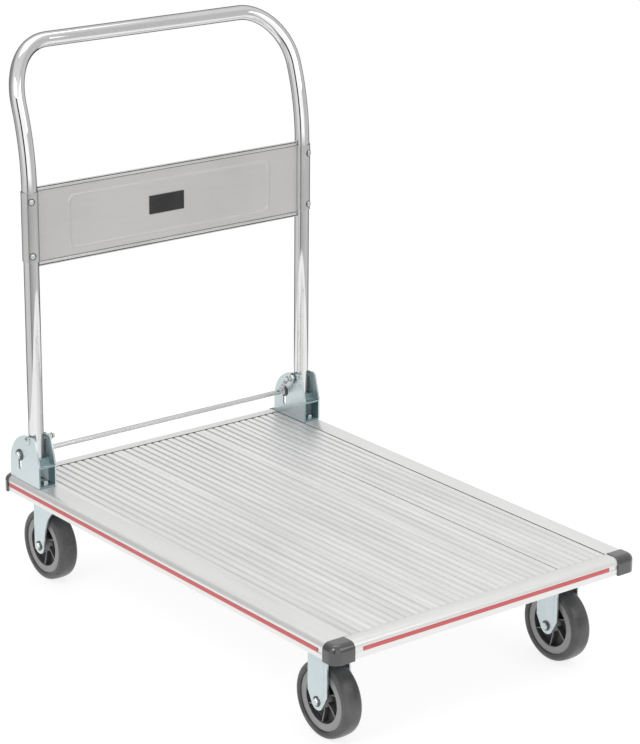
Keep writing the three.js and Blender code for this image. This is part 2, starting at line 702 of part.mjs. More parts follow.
// a path through chosen rings: each ring is one step of the extrusion
class RingPath extends THREE.Curve {
  constructor(rings) {
    super();
    this.rings = rings;
  }

  getPoint(t, target = new THREE.Vector3()) {
    const place = t * (this.rings.length - 1);
    const index = Math.min(Math.floor(place), this.rings.length - 2);
    return target.copy(this.rings[index]).lerp(this.rings[index + 1], place - index);
  }

  getSpacedPoints(divisions) {
    return this.getPoints(divisions);
  }

  getTangentAt(t, target = new THREE.Vector3()) {
    const index = Math.round(t * (this.rings.length - 1));
    const before = this.rings[Math.max(index - 1, 0)];
    const here = this.rings[index];
    const after = this.rings[Math.min(index + 1, this.rings.length - 1)];
    const entering = here.clone().sub(before).normalize();
    return target.copy(after).sub(here).normalize().add(entering).normalize();
  }
}

// the leg's centre line, from the lower end: straight up, then a long backward curve
function legPoint(arcLength) {
  const angle = Math.max(arcLength, 0) / BEND_RADIUS;
  const x = HANDLE_X - BEND_RADIUS * (1 - Math.cos(angle));
  const z = BEND_START_Z + BEND_RADIUS * Math.sin(angle) + Math.min(arcLength, 0);
  return [x, z];
}

function handleRings() {
  const half = [];
  const place = (arcLength, y) => {
    const [x, z] = legPoint(arcLength);
    half.push(new THREE.Vector3(x, y, z));
  };
  place(TUBE_END_Z - BEND_START_Z, HANDLE_Y);
  const cornerStart = LEG_ARC - CORNER_UP;
  for (let i = 0; i <= 4; i += 1) {
    place((cornerStart * i) / 4, HANDLE_Y);
  }
  for (let i = 1; i <= 7; i += 1) {
    const angle = (i * Math.PI) / 14;
    place(cornerStart + CORNER_UP * Math.sin(angle), HANDLE_Y - CORNER_SIDE * (1 - Math.cos(angle)));
  }
  const other = half.map((point) => new THREE.Vector3(point.x, -point.y, point.z)).reverse();
  return [...half, ...other];
}

function handleTube() {
  const section = new THREE.Shape().absarc(0, 0, TUBE_RADIUS, 0, 2 * Math.PI);
  section.holes.push(new THREE.Path().absarc(0, 0, TUBE_RADIUS - TUBE_WALL, 0, 2 * Math.PI, true));
  const rings = handleRings();
  const tube = new THREE.ExtrudeGeometry(section, {
    curveSegments: 8,
    steps: rings.length - 1,
    extrudePath: new RingPath(rings),
  });
  const pinHoles = [-1, 1].map((sign) =>
    rodY(PIN_RADIUS + GAP, sign * HANDLE_Y - 20, sign * HANDLE_Y + 20, HANDLE_X, PIVOT_Z, 16));
  return cut(tube, ...pinHoles);
}

// a solid heel in the tube's lower end, rounded about the pivot so that it passes the release bar
function endPlug() {
  const stem = rodZ(TUBE_RADIUS - TUBE_WALL - GAP, TUBE_END_Z - 2, TUBE_END_Z + 12, 0, 0, 12);
  const block = rodZ(TUBE_RADIUS, PIVOT_Z - HEEL_RADIUS - 1, TUBE_END_Z - GAP, 0, 0, 16);
  const heelArc = rodY(HEEL_RADIUS, -TUBE_RADIUS - 2, TUBE_RADIUS + 2, 0, PIVOT_Z, 72);
  return joined(stem, common(block, heelArc));
}

// a sheet between the legs with thick hems, whose ends wrap round the tubes as split collars
function handlePanel() {
  const rear = PANEL_FRONT_X - PANEL_SHEET;
  const hemFront = rear + HEM_THICKNESS;
  const inner = TUBE_RADIUS + GAP;
  const outer = inner + COLLAR_WALL;
  const reach = HANDLE_Y - inner - COLLAR_WALL / 2;
  const sheet = alongY([
    [rear, PANEL_BOTTOM],
    [hemFront, PANEL_BOTTOM],
    [hemFront, PANEL_BOTTOM + HEM_HEIGHT],
    [PANEL_FRONT_X, PANEL_BOTTOM + HEM_HEIGHT],
    [PANEL_FRONT_X, PANEL_TOP - HEM_HEIGHT],
    [hemFront, PANEL_TOP - HEM_HEIGHT],
    [hemFront, PANEL_TOP],
    [rear, PANEL_TOP],
  ], -reach, reach);
  const start = -Math.PI / 2 - 0.1;
  const end = start + (11 * Math.PI) / 6;
  const ring = [...arc(0, 0, outer, start, end, 26), ...arc(0, 0, inner, end, start, 26)];
  const collar = alongZ(ring, COLLAR_BOTTOM, COLLAR_TOP).translate(HANDLE_X, HANDLE_Y, 0);
  return joined(sheet, collar, mirroredY(collar));
}

function makeHandle() {
  add(platform, 'handle_tube', handleTube(), chrome());
  for (const [side, sign] of SIDES) {
    add(platform, `handle_end_plug_${side}`, endPlug(), zinc(), HANDLE_X, sign * HANDLE_Y, 0);
  }
  add(platform, 'handle_panel', handlePanel(), greySheet());
  const [labelWidth, labelHeight] = LABEL_SIZE;
  const [labelY, labelZ] = LABEL_CENTRE;
  const back = PANEL_FRONT_X + GAP;
  const label = box(back, back + 0.8, labelY - labelWidth / 2, labelY + labelWidth / 2,
    labelZ - labelHeight / 2, labelZ + labelHeight / 2);
  add(platform, 'label_plate', label, black());
}

makeDeck();
makeCasters();
makeHinges();
makeHandle();

// the rear wheels trail past the platform, so the middle of the overall length lies behind its centre
const REAR_REACH = WHEEL_RADIUS + SWIVEL_TRAIL - SWIVEL_X;
platform.position.x = (REAR_REACH - LENGTH / 2) / 2;

const cart = new THREE.Group();
cart.add(platform);

export default cart;
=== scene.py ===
"""Folding platform cart: its looks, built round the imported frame.

Lengths are in millimetres in the platform's own frame unless a line says metres: +X forward, +Y left, +Z up,
x = 0 at the middle of the platform and z = 0 on the floor. make() turns them into the row's metres.
"""
import math

import bmesh
import bpy
from mathutils import Matrix, Vector


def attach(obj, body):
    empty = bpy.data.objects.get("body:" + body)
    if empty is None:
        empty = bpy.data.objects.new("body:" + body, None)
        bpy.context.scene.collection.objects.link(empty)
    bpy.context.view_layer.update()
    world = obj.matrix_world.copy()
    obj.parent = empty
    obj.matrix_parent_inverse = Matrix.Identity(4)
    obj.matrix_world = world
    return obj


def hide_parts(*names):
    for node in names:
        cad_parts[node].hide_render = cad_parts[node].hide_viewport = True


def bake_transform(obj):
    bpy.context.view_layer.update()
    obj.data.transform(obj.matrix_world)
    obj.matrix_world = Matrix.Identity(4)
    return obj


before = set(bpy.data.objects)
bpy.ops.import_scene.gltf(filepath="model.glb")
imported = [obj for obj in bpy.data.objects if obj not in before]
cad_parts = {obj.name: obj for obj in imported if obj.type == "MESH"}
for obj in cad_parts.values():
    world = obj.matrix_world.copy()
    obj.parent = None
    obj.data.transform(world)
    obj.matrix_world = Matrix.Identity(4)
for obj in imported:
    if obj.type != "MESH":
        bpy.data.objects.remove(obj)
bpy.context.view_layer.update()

MM = 0.001
PLATFORM_X = 13.25  # the row's origin lies this far behind the platform's middle
TO_ROW = Matrix.Translation((PLATFORM_X * MM, 0, 0)) @ Matrix.Scale(MM, 4)
SIDES = (("right", -1), ("left", 1))

# ---- dimensions, as in the solids ---------------------------------------------------------------------

HALF_LENGTH = 457
HALF_WIDTH = 305
RAIL_FACE_X = 454.5
RAIL_FACE_Y = 302.5
RAIL_BOTTOM = 169
RAIL_TOP = 196.6
RAIL_EDGE_RADIUS = 10.5
RAIL_WALL = 2.2
SEAM_X = 428.3
SEAM_Y = 262.5
SIDE_STRIPE_Z = 180.6
END_STRIPE_Z = 182.4
PLANK_SEAMS = (-262.5, -87.5, 87.5, 161, 262.5)
PLANK_TOP = 196
PLANK_FOOT = 181.3
GROOVE_PITCH = 15
GROOVE_DEPTH = 1.2

WHEEL_RADIUS = 62.5
CASTER_Y = 233
FRONT_AXLE_X = 355
SWIVEL_X = -383
REAR_AXLE_X = -421
PLATE_TOP = 168.7
PLATE_BOTTOM = 165.2
CROWN_TOP = 157.5
BOLT_SPACING_X = 66
BOLT_SPACING_Y = 45
LEG_OUTER = 23

TUBE_RADIUS = 12.7
HANDLE_X = -382
HANDLE_Y = 280
PIVOT_Z = 273.5
TUBE_END_Z = 243
BEND_START_Z = 701.5
BEND_RADIUS = 405
LEG_ARC = 244
CORNER_SIDE = 85
CORNER_UP = 104
CHEEK_OUTER = 17
CHEEK_INNER = 14
SHELF_MIDDLE = 232.5
WINDOW_BACK = -369
BASE_TOP = 199.9
BRACKET_BOLT_X = (-421, -361)
BAR_X = -408.5
BAR_Z = 241.5
BAR_RADIUS = 4
PIN_RADIUS = 4
SPRING_Y = 249.5

PANEL_TOP = 708.6
PANEL_BOTTOM = 572.8
PANEL_FRONT_X = -380
PANEL_SHEET = 1.5
HEM_HEIGHT = 9
HEM_THICKNESS = 3
COLLAR_TOP = 701.5
COLLAR_BOTTOM = 584
COLLAR_INNER = 13
COLLAR_OUTER = 14.3
SCREW_HEIGHTS = (595, 686.5)

# ---- camera, lights and floor -------------------------------------------------------------------------

CAMERA_PLACE = Vector((3.2342, -2.5035, 1.7927))  # metres
CAMERA_AZIMUTH = math.radians(51.88)
CAMERA_ELEVATION = math.radians(18.37)
CAMERA_ROLL = math.radians(0.41)
CAMERA_LENS = 129.04
SENSOR = 36


def make_camera():
    a, e, roll = CAMERA_AZIMUTH, CAMERA_ELEVATION, CAMERA_ROLL
    level = Vector((math.cos(a), math.sin(a), 0))
    back = Vector((math.sin(a) * math.cos(e), -math.cos(a) * math.cos(e), math.sin(e)))
    above = back.cross(level)
    right = level * math.cos(roll) + above * math.sin(roll)
    up = above * math.cos(roll) - level * math.sin(roll)
    data = bpy.data.cameras.new("camera")
    data.sensor_width = SENSOR
    data.sensor_fit = "AUTO"
    data.lens = CAMERA_LENS
    data.clip_end = 200
    camera = bpy.data.objects.new("camera", data)
    bpy.context.scene.collection.objects.link(camera)
    turn = Matrix((right, up, back)).transposed()
    camera.matrix_world = Matrix.Translation(CAMERA_PLACE) @ turn.to_4x4()
    bpy.context.scene.camera = camera


def grey_ramp(tree, value, stops):
    node = tree.nodes.new("ShaderNodeValToRGB")
    ramp(node, [(place, (level,) * 3) for place, level in stops])
    tree.links.new(value, node.inputs["Fac"])
    return node.outputs["Color"]


def blended(tree, value, low, high, below, above):
    """Goes from one colour to another as a height climbs from low to high."""
    height = tree.nodes.new("ShaderNodeMapRange")
    height.interpolation_type = "SMOOTHSTEP"
    height.inputs["From Min"].default_value = low
    height.inputs["From Max"].default_value = high
    tree.links.new(value, height.inputs["Value"])
    mix = tree.nodes.new("ShaderNodeMix")
    mix.data_type = "RGBA"
    tree.links.new(height.outputs["Result"], mix.inputs["Factor"])
    for name, color in (("A", below), ("B", above)):
        if isinstance(color, tuple):
            mix.inputs[name].default_value = color
        else:
            tree.links.new(color, mix.inputs[name])
    return mix.outputs["Result"]


# light levels round the studio: 0.5 is the side of the camera, 0 and 1 are straight behind the object
# LOW_LEVELS holds below the horizon, SIDE_LEVELS from there up, and the ceiling is white
LOW_LEVELS = ((0.0, 0.06), (0.1, 0.1), (0.15, 0.82), (0.3, 0.9), (0.42, 0.82), (0.435, 0.3), (0.5, 0.52),
              (0.62, 0.7), (0.75, 0.82), (0.86, 0.74), (0.9, 0.1), (1.0, 0.06))
SIDE_LEVELS = ((0.0, 0.97), (0.1, 0.85), (0.16, 0.4), (0.25, 0.44), (0.33, 1.1), (0.42, 1.1), (0.44, 0.02),
               (0.475, 0.03), (0.49, 1.5), (0.6, 1.5), (0.66, 0.74), (0.76, 0.76), (0.84, 0.9), (1.0, 0.97))
LOW_TO_SIDE = (-0.28, -0.12)  # heights between which one gives way to the next
SIDE_TO_CEILING = (0.45, 0.85)
ROOM_STRENGTH = 0.85
WHITE = (1, 1, 1, 1)


def make_world():
    world = bpy.data.worlds.new("studio")
    bpy.context.scene.world = world
    world.use_nodes = True
    tree = world.node_tree
    tree.nodes.clear()
    link = tree.links.new
    coords = tree.nodes.new("ShaderNodeTexCoord")
    turn = tree.nodes.new("ShaderNodeMath")
    turn.operation = "ARCTAN2"
    across = (math.cos(CAMERA_AZIMUTH), math.sin(CAMERA_AZIMUTH), 0)
    towards = (math.sin(CAMERA_AZIMUTH), -math.cos(CAMERA_AZIMUTH), 0)
    for socket, direction in ((0, across), (1, towards)):
        part = tree.nodes.new("ShaderNodeVectorMath")
        part.operation = "DOT_PRODUCT"
        part.inputs[1].default_value = direction
        link(coords.outputs["Generated"], part.inputs[0])
        link(part.outputs["Value"], turn.inputs[socket])
    around = tree.nodes.new("ShaderNodeMapRange")
    around.inputs["From Min"].default_value = -math.pi
    around.inputs["From Max"].default_value = math.pi
    link(turn.outputs["Value"], around.inputs["Value"])
    split = tree.nodes.new("ShaderNodeSeparateXYZ")
    link(coords.outputs["Generated"], split.inputs["Vector"])
    low = grey_ramp(tree, around.outputs["Result"], LOW_LEVELS)
    side = grey_ramp(tree, around.outputs["Result"], SIDE_LEVELS)
    room = blended(tree, split.outputs["Z"], *LOW_TO_SIDE, low, side)
    room = blended(tree, split.outputs["Z"], *SIDE_TO_CEILING, room, WHITE)
    background = tree.nodes.new("ShaderNodeBackground")
    background.inputs["Strength"].default_value = ROOM_STRENGTH
    link(room, background.inputs["Color"])
    backdrop = tree.nodes.new("ShaderNodeBackground")
    backdrop.inputs["Color"].default_value = WHITE
    path = tree.nodes.new("ShaderNodeLightPath")
    chosen = tree.nodes.new("ShaderNodeMixShader")
    output = tree.nodes.new("ShaderNodeOutputWorld")
    link(path.outputs["Is Camera Ray"], chosen.inputs["Fac"])
    link(background.outputs["Background"], chosen.inputs[1])
    link(backdrop.outputs["Background"], chosen.inputs[2])
    link(chosen.outputs["Shader"], output.inputs["Surface"])


def area_light(name, place, target, size, power):
    data = bpy.data.lights.new(name, "AREA")
    data.shape = "RECTANGLE"
    data.size, data.size_y = size
    data.energy = power
    light = bpy.data.objects.new(name, data)
    bpy.context.scene.collection.objects.link(light)
    place = Vector(place)
    light.location = place
    light.rotation_euler = (Vector(target) - place).to_track_quat("-Z", "Y").to_euler()


FLOOR_RADIUS = 1.35  # metres
FLOOR_GREY = (0.28, 0.28, 0.28, 1)
FLOOR_GLOW = 0.8  # lifts the floor to the white of the backdrop
CART_MIDDLE = (0, 0, 0.3)  # metres
# place, target and size in metres, then watts
LIGHTS = (("key", (1.2, -3.2, 3.4), CART_MIDDLE, (1.6, 1.6), 42),
          ("fill", (3.6, 1.4, 2.6), CART_MIDDLE, (2.0, 2.0), 18),
          ("top", (-0.4, 0.3, 3.6), (0, 0, 0), (2.4, 1.6), 18))


def make_stage():
    bm = bmesh.new()
    bmesh.ops.create_circle(bm, cap_ends=True, segments=96, radius=FLOOR_RADIUS)
    mesh = bpy.data.meshes.new("floor")
    bm.to_mesh(mesh)
    bm.free()
    floor = bpy.data.objects.new("floor", mesh)
    bpy.context.scene.collection.objects.link(floor)
    paint = bpy.data.materials.new("floor_paint")
    paint.use_nodes = True
    shader = paint.node_tree.nodes["Principled BSDF"]
    shader.inputs["Base Color"].default_value = FLOOR_GREY
    shader.inputs["Roughness"].default_value = 1
    shader.inputs["Specular IOR Level"].default_value = 0
    shader.inputs["Emission Color"].default_value = WHITE
    shader.inputs["Emission Strength"].default_value = FLOOR_GLOW
    mesh.materials.append(paint)
    for light in LIGHTS:
        area_light(*light)


# ---- materials ----------------------------------------------------------------------------------------

NOISE_LOW, NOISE_HIGH = 0.3, 0.7  # nearly all of a noise lies between these
PATCH_DETAIL = 5
GRAIN_DETAIL = 3

# how far a pattern is stretched along X, Y and Z
EVEN = (1, 1, 1)
ALONG_X = (0.02, 1, 1)
ALONG_Y = (1, 0.02, 1)
ALONG_Z = (1, 1, 0.02)
FINE_X = (0.012, 1, 1)
STREAKED_X = (0.12, 1, 1)
STREAKED_Y = (1, 0.12, 1)


def ramp(node, stops):
    elements = node.color_ramp.elements
    while len(elements) > 1:
        elements.remove(elements[-1])
    elements[0].position, first = stops[0]
    elements[0].color = (*first, 1)
    for place, color in stops[1:]:
        elements.new(place).color = (*color, 1)


def noise(tree, scale, detail, stretch):
    """A noise texture fixed to the piece. stretch shrinks the pattern along an axis."""
    coords = tree.nodes.new("ShaderNodeTexCoord")
    mapping = tree.nodes.new("ShaderNodeMapping")
    mapping.inputs["Scale"].default_value = stretch
    texture = tree.nodes.new("ShaderNodeTexNoise")
    texture.inputs["Scale"].default_value = scale
    texture.inputs["Detail"].default_value = detail
    tree.links.new(coords.outputs["Object"], mapping.inputs["Vector"])
    tree.links.new(mapping.outputs["Vector"], texture.inputs["Vector"])
    return texture.outputs["Fac"]


def ranged(tree, value, low, high, from_low=NOISE_LOW, from_high=NOISE_HIGH):
    node = tree.nodes.new("ShaderNodeMapRange")
    node.inputs["From Min"].default_value = from_low
    node.inputs["From Max"].default_value = from_high
    node.inputs["To Min"].default_value = low
    node.inputs["To Max"].default_value = high
    tree.links.new(value, node.inputs["Value"])
    return node.outputs["Result"]


def surface(name, dark, light, metallic, rough, patch, grain, grain_weight, bump, spread=EVEN, **sockets):
    """A finish with patches of colour, a finer grain (scale, stretch) and a bump (height in millimetres).

    dark and light are the ends of its colour, and rough is the range of its roughness. patch is the scale of
    its patches, and spread is their stretch.
    """
    material = bpy.data.materials.new(name)
    material.use_nodes = True
    tree = material.node_tree
    shader = tree.nodes["Principled BSDF"]
    shader.inputs["Metallic"].default_value = metallic
    for socket, value in sockets.items():
        shader.inputs[socket.replace("_", " ")].default_value = value
    patches = noise(tree, patch, PATCH_DETAIL, spread)
    fine = noise(tree, grain[0], GRAIN_DETAIL, grain[1])
    blend = tree.nodes.new("ShaderNodeMix")
    blend.inputs["Factor"].default_value = grain_weight
    tree.links.new(patches, blend.inputs["A"])
    tree.links.new(fine, blend.inputs["B"])
    colors = tree.nodes.new("ShaderNodeValToRGB")
    ramp(colors, [(NOISE_LOW, dark), (NOISE_HIGH, light)])
    tree.links.new(blend.outputs["Result"], colors.inputs["Fac"])
    tree.links.new(colors.outputs["Color"], shader.inputs["Base Color"])
    tree.links.new(ranged(tree, blend.outputs["Result"], *rough), shader.inputs["Roughness"])
    if bump:
        node = tree.nodes.new("ShaderNodeBump")
        node.inputs["Distance"].default_value = bump * MM
        node.inputs["Strength"].default_value = 1
        tree.links.new(fine, node.inputs["Height"])
        tree.links.new(node.outputs["Normal"], shader.inputs["Normal"])
    return material


def paint_light_and_shade_along(material, color, direction, start, end, most):
    """Mixes a colour, as painted light or shade, into a finish along a direction across the piece: none at
    start, `most` of it at end.
    """
    tree = material.node_tree
    base = tree.nodes["Principled BSDF"].inputs["Base Color"]
    source = base.links[0].from_socket
    coords = tree.nodes.new("ShaderNodeTexCoord")
    along = tree.nodes.new("ShaderNodeVectorMath")
    along.operation = "DOT_PRODUCT"
    along.inputs[1].default_value = direction
    tree.links.new(coords.outputs["Object"], along.inputs[0])
    mix = tree.nodes.new("ShaderNodeMix")
    mix.data_type = "RGBA"
    mix.inputs["B"].default_value = (*color, 1)
    tree.links.new(ranged(tree, along.outputs["Value"], 0, most, start, end), mix.inputs["Factor"])
    tree.links.new(source, mix.inputs["A"])
    tree.links.new(mix.outputs["Result"], base)


deck_finish = surface("ribbed_aluminium", (0.70, 0.70, 0.69), (0.90, 0.90, 0.89), 0.7, (0.32, 0.46),
                      34, (380, FINE_X), 0.55, 0.02, STREAKED_X)
# the grooves are coloured darker than the ribs: painted shade in the hollows
groove_painted_shade = surface("rib_grooves_painted_shade", (0.56, 0.56, 0.555), (0.78, 0.78, 0.775), 0.65, (0.36, 0.5),
                        34, (380, FINE_X), 0.55, 0.02, STREAKED_X)
# towards the handle the grooves take more painted shade and the ribs a brighter painted reflection; distances
# in metres
TO_HANDLE = (-1, 0.2, 0)
PAINTED_LIGHT_END = 0.45
paint_light_and_shade_along(groove_painted_shade, (0.30, 0.30, 0.30), TO_HANDLE, 0.05, PAINTED_LIGHT_END, 0.35)
paint_light_and_shade_along(deck_finish, (0.97, 0.97, 0.965), TO_HANDLE, 0.0, PAINTED_LIGHT_END, 0.7)
# a near-black painted shade for faces in open seams, on the rails' inner webs and in the hems' shadow lines
seam_painted_shade = surface("painted_seam_shade", (0.05, 0.05, 0.05), (0.10, 0.10, 0.10), 0.2, (0.6, 0.8),
                      30, (700, EVEN), 0.4, 0.02)
rail_finish = surface("rail_aluminium", (0.74, 0.74, 0.73), (0.84, 0.84, 0.83), 0.6, (0.26, 0.36),
                      9, (700, ALONG_X), 0.4, 0.01, STREAKED_X)
end_rail_finish = surface("end_rail_aluminium", (0.74, 0.74, 0.73), (0.84, 0.84, 0.83), 0.6, (0.26, 0.36),
                          9, (700, ALONG_Y), 0.4, 0.01, STREAKED_Y)
beam_finish = surface("mill_aluminium", (0.55, 0.55, 0.55), (0.68, 0.68, 0.68), 0.85, (0.35, 0.5),
                      12, (600, ALONG_Y), 0.5, 0.02)
zinc_finish = surface("zinc_plating", (0.54, 0.62, 0.64), (0.66, 0.73, 0.75), 0.75, (0.2, 0.32),
                      9, (520, EVEN), 0.2, 0.008)
bolt_finish = surface("zinc_fasteners", (0.50, 0.54, 0.54), (0.68, 0.71, 0.71), 0.95, (0.16, 0.3),
                      60, (700, EVEN), 0.3, 0.02)
# the washers are coloured nearly black: painted shade round the nuts and bolt heads
washer_painted_shade = surface("washers_painted_shade", (0.08, 0.09, 0.09), (0.15, 0.16, 0.16), 0.8, (0.25, 0.4),
                        60, (700, EVEN), 0.3, 0.02)
# painted shade for the zinc inside the hinge brackets: a half shade above the shelf, a deeper shade in the
# window below it
half_shade_finish = surface("zinc_half_shade", (0.32, 0.42, 0.44), (0.44, 0.53, 0.55), 0.7, (0.25, 0.38),
                        12, (520, EVEN), 0.2, 0.01)
shade_finish = surface("zinc_painted_shade", (0.15, 0.25, 0.27), (0.27, 0.38, 0.40), 0.6, (0.3, 0.45),
                       22, (520, EVEN), 0.2, 0.012)
steel_finish = surface("plain_steel", (0.42, 0.43, 0.44), (0.58, 0.59, 0.60), 0.95, (0.25, 0.4),
                       40, (800, EVEN), 0.4, 0.02)
spring_finish = surface("spring_wire", (0.50, 0.52, 0.52), (0.70, 0.72, 0.72), 1.0, (0.2, 0.32),
                        60, (900, EVEN), 0.4, 0.01)
chrome_finish = surface("polished_tube", (0.69, 0.69, 0.69), (0.81, 0.81, 0.81), 1.0, (0.02, 0.06),
                        14, (420, ALONG_Z), 0.5, 0.002, Specular_Tint=(0.01, 0.01, 0.01, 1))
bar_finish = surface("polished_bar", (0.68, 0.68, 0.68), (0.78, 0.78, 0.78), 0.95, (0.14, 0.24),
                     14, (420, ALONG_Y), 0.5, 0.004, Specular_Tint=(0.1, 0.1, 0.1, 1))
sheet_finish = surface("grey_sheet", (0.52, 0.51, 0.50), (0.595, 0.585, 0.575), 0.35, (0.34, 0.48),
                       5, (650, ALONG_Y), 0.35, 0.008)
collar_finish = surface("polished_collar", (0.58, 0.58, 0.575), (0.70, 0.70, 0.695), 0.9, (0.06, 0.14),
                        14, (420, ALONG_Z), 0.4, 0.004, Specular_Tint=(0.2, 0.2, 0.2, 1))
hem_finish = surface("polished_hem", (0.62, 0.62, 0.61), (0.74, 0.74, 0.73), 0.8, (0.18, 0.3),
                     9, (420, ALONG_Y), 0.4, 0.004)
red_finish = surface("red_inlay", (0.53, 0.085, 0.09), (0.62, 0.125, 0.13), 0, (0.35, 0.5),
                     20, (900, EVEN), 0.4, 0.02)
cap_finish = surface("charcoal_plastic", (0.032, 0.032, 0.034), (0.054, 0.054, 0.056), 0, (0.08, 0.16),
                     25, (1300, EVEN), 0.5, 0.01, Coat_Weight=1.0, Coat_Roughness=0.03)
rim_finish = surface("grey_moulding", (0.24, 0.24, 0.245), (0.33, 0.33, 0.335), 0, (0.42, 0.58),
                     30, (1100, EVEN), 0.5, 0.03)
# the rim's web and the spokes' sides are coloured nearly black: painted shade in its pockets
pocket_painted_shade = surface("rim_pockets_painted_shade", (0.045, 0.045, 0.047), (0.085, 0.085, 0.087), 0, (0.45, 0.6),
                        30, (1100, EVEN), 0.5, 0.03)
tyre_finish = surface("dark_rubber", (0.034, 0.034, 0.036), (0.100, 0.100, 0.104), 0, (0.2, 0.4),
                      26, (800, EVEN), 0.25, 0.015)
black_finish = surface("black_plate", (0.012, 0.012, 0.013), (0.022, 0.022, 0.024), 0, (0.22, 0.34),
                       30, (900, EVEN), 0.4, 0.01)

# ---- mesh helpers -------------------------------------------------------------------------------------


def lift(axis, u, v, t):
    """The point (u, v) of an outline at distance t along the axis."""
    return {"x": (t, u, v), "y": (u, t, v), "z": (u, v, t)}[axis]


def arc(cu, cv, radius, start, end, steps):
    turn = (end - start) / steps
    return [(cu + radius * math.cos(start + turn * i), cv + radius * math.sin(start + turn * i))
            for i in range(steps + 1)]


def prism(bm, points, axis, low, high):
    rows = [[bm.verts.new(lift(axis, u, v, t)) for u, v in points] for t in (low, high)]
    bm.faces.new(rows[0])
    bm.faces.new(rows[1])
    count = len(points)
    for i in range(count):
        j = (i + 1) % count
        bm.faces.new((rows[0][i], rows[0][j], rows[1][j], rows[1][i]))


def lathe(bm, profile, sides, axis, centre, turn=0.0):
    """Turns (radius, distance) points round an axis line. A profile closes on itself or ends on the axis."""
    rings = []
    for radius, t in profile:
        if radius < 1e-6:
            rings.append([bm.verts.new(lift(axis, *centre, t))])
            continue
        ring = arc(*centre, radius, turn, turn + math.tau, sides)[:-1]
        rings.append([bm.verts.new(lift(axis, u, v, t)) for u, v in ring])
    if profile[0] == profile[-1]:
        bmesh.ops.delete(bm, geom=rings.pop(), context="VERTS")
        rings.append(rings[0])
    for one, two in zip(rings, rings[1:]):
        for i in range(sides):
            j = (i + 1) % sides
            corners = [one[i % len(one)], one[j % len(one)], two[j % len(two)], two[i % len(two)]]
            corners = list(dict.fromkeys(corners))
            if len(corners) > 2:
                bm.faces.new(corners)


def disc(bm, axis, centre, face, out, radius, height, sides=40, edge=0.3, turn=0.0):
    """A chamfered disc, washer or hexagon that stands `height` out of a face; out is 1 or -1."""
    top = face + out * height
    profile = [(0, face), (radius, face), (radius, top - out * edge), (radius - edge, top), (0, top)]
    lathe(bm, profile, sides, axis, centre, turn)


def hexagon(bm, axis, centre, face, out, radius, height, turn=0.3):
    disc(bm, axis, centre, face, out, radius, height, 6, 0.7, turn)
    disc(bm, axis, centre, face + out * height, out, radius * 0.8, 0.25, 32, 0.2)


SHANK = 3.95  # radius of an 8 mm bolt, a little under its hole


def shank(bm, axis, centre, low, high, sides=20):
    lathe(bm, [(0, low), (SHANK, low), (SHANK, high), (0, high)], sides, axis, centre)


def set_index(bm, start, index):
    """Gives the faces made since face number `start` another of the piece's finishes."""
    bm.faces.ensure_lookup_table()
    for face in bm.faces[start:]:
        face.material_index = index


# a washer takes the piece's second finish, the washers' painted shade
def washer(bm, axis, centre, face, out, radius, height, edge=0.3):
    start = len(bm.faces)
    disc(bm, axis, centre, face, out, radius, height, edge=edge)
    set_index(bm, start, 1)


FASTENER = [bolt_finish, washer_painted_shade]


def sweep(bm, centres, radius, sides):
    """A round wire or tube along the centres, with closed ends."""
    centres = [Vector(c) for c in centres]
    last = len(centres) - 1
    tangents = [(centres[min(i + 1, last)] - centres[max(i - 1, 0)]).normalized() for i in range(last + 1)]
    normal = tangents[0].orthogonal().normalized()
    rings = []
    for i, (centre, tangent) in enumerate(zip(centres, tangents)):
        if i:
            normal = tangents[i - 1].rotation_difference(tangent) @ normal
            normal = (normal - tangent * normal.dot(tangent)).normalized()
        side = tangent.cross(normal)
        rings.append([bm.verts.new(centre + (normal * math.cos(k) + side * math.sin(k)) * radius)
                      for k in (math.tau * s / sides for s in range(sides))])
    for one, two in zip(rings, rings[1:]):
        for i in range(sides):
            j = (i + 1) % sides
            bm.faces.new((one[i], one[j], two[j], two[i]))
    bm.faces.new(rings[0])
    bm.faces.new(rings[-1])


def make(name, bm, finish, body, replaced=(), bevel=0.0, sharp=32, to_row=True):
    """Turns a bmesh into a piece that rides on a body. finish is a material or a list of them."""
    if to_row:
        bmesh.ops.transform(bm, matrix=TO_ROW, verts=bm.verts)
    bmesh.ops.recalc_face_normals(bm, faces=bm.faces)
    mesh = bpy.data.meshes.new(name)
    bm.to_mesh(mesh)
    bm.free()
    mesh.shade_smooth()
    mesh.set_sharp_from_angle(angle=math.radians(sharp))
    piece = bpy.data.objects.new(name, mesh)
    bpy.context.scene.collection.objects.link(piece)
    for material in finish if isinstance(finish, list) else [finish]:
        mesh.materials.append(material)
    if bevel:
        edge = piece.modifiers.new("edge", "BEVEL")
        edge.width = bevel * MM
        edge.segments = 2
        edge.limit_method = "ANGLE"
        edge.angle_limit = math.radians(sharp)
        edge.harden_normals = True
    if body:
        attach(piece, body)
    if replaced:
        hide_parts(*replaced)
    return piece


def from_node(node):
    """A clean copy of a CAD node's mesh, in metres, with its flat faces whole again."""
    bm = bmesh.new()
    bm.from_mesh(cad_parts[node].data)
    bmesh.ops.remove_doubles(bm, verts=bm.verts, dist=1e-6)
    bmesh.ops.dissolve_limit(bm, angle_limit=math.radians(1), verts=bm.verts, edges=bm.edges)
    return bm


def refine(node, finish, body, bevel=0.4):
    return make(f"{node}_look", from_node(node), finish, body, (node,), bevel, to_row=False)


# ---- deck ---------------------------------------------------------------------------------------------

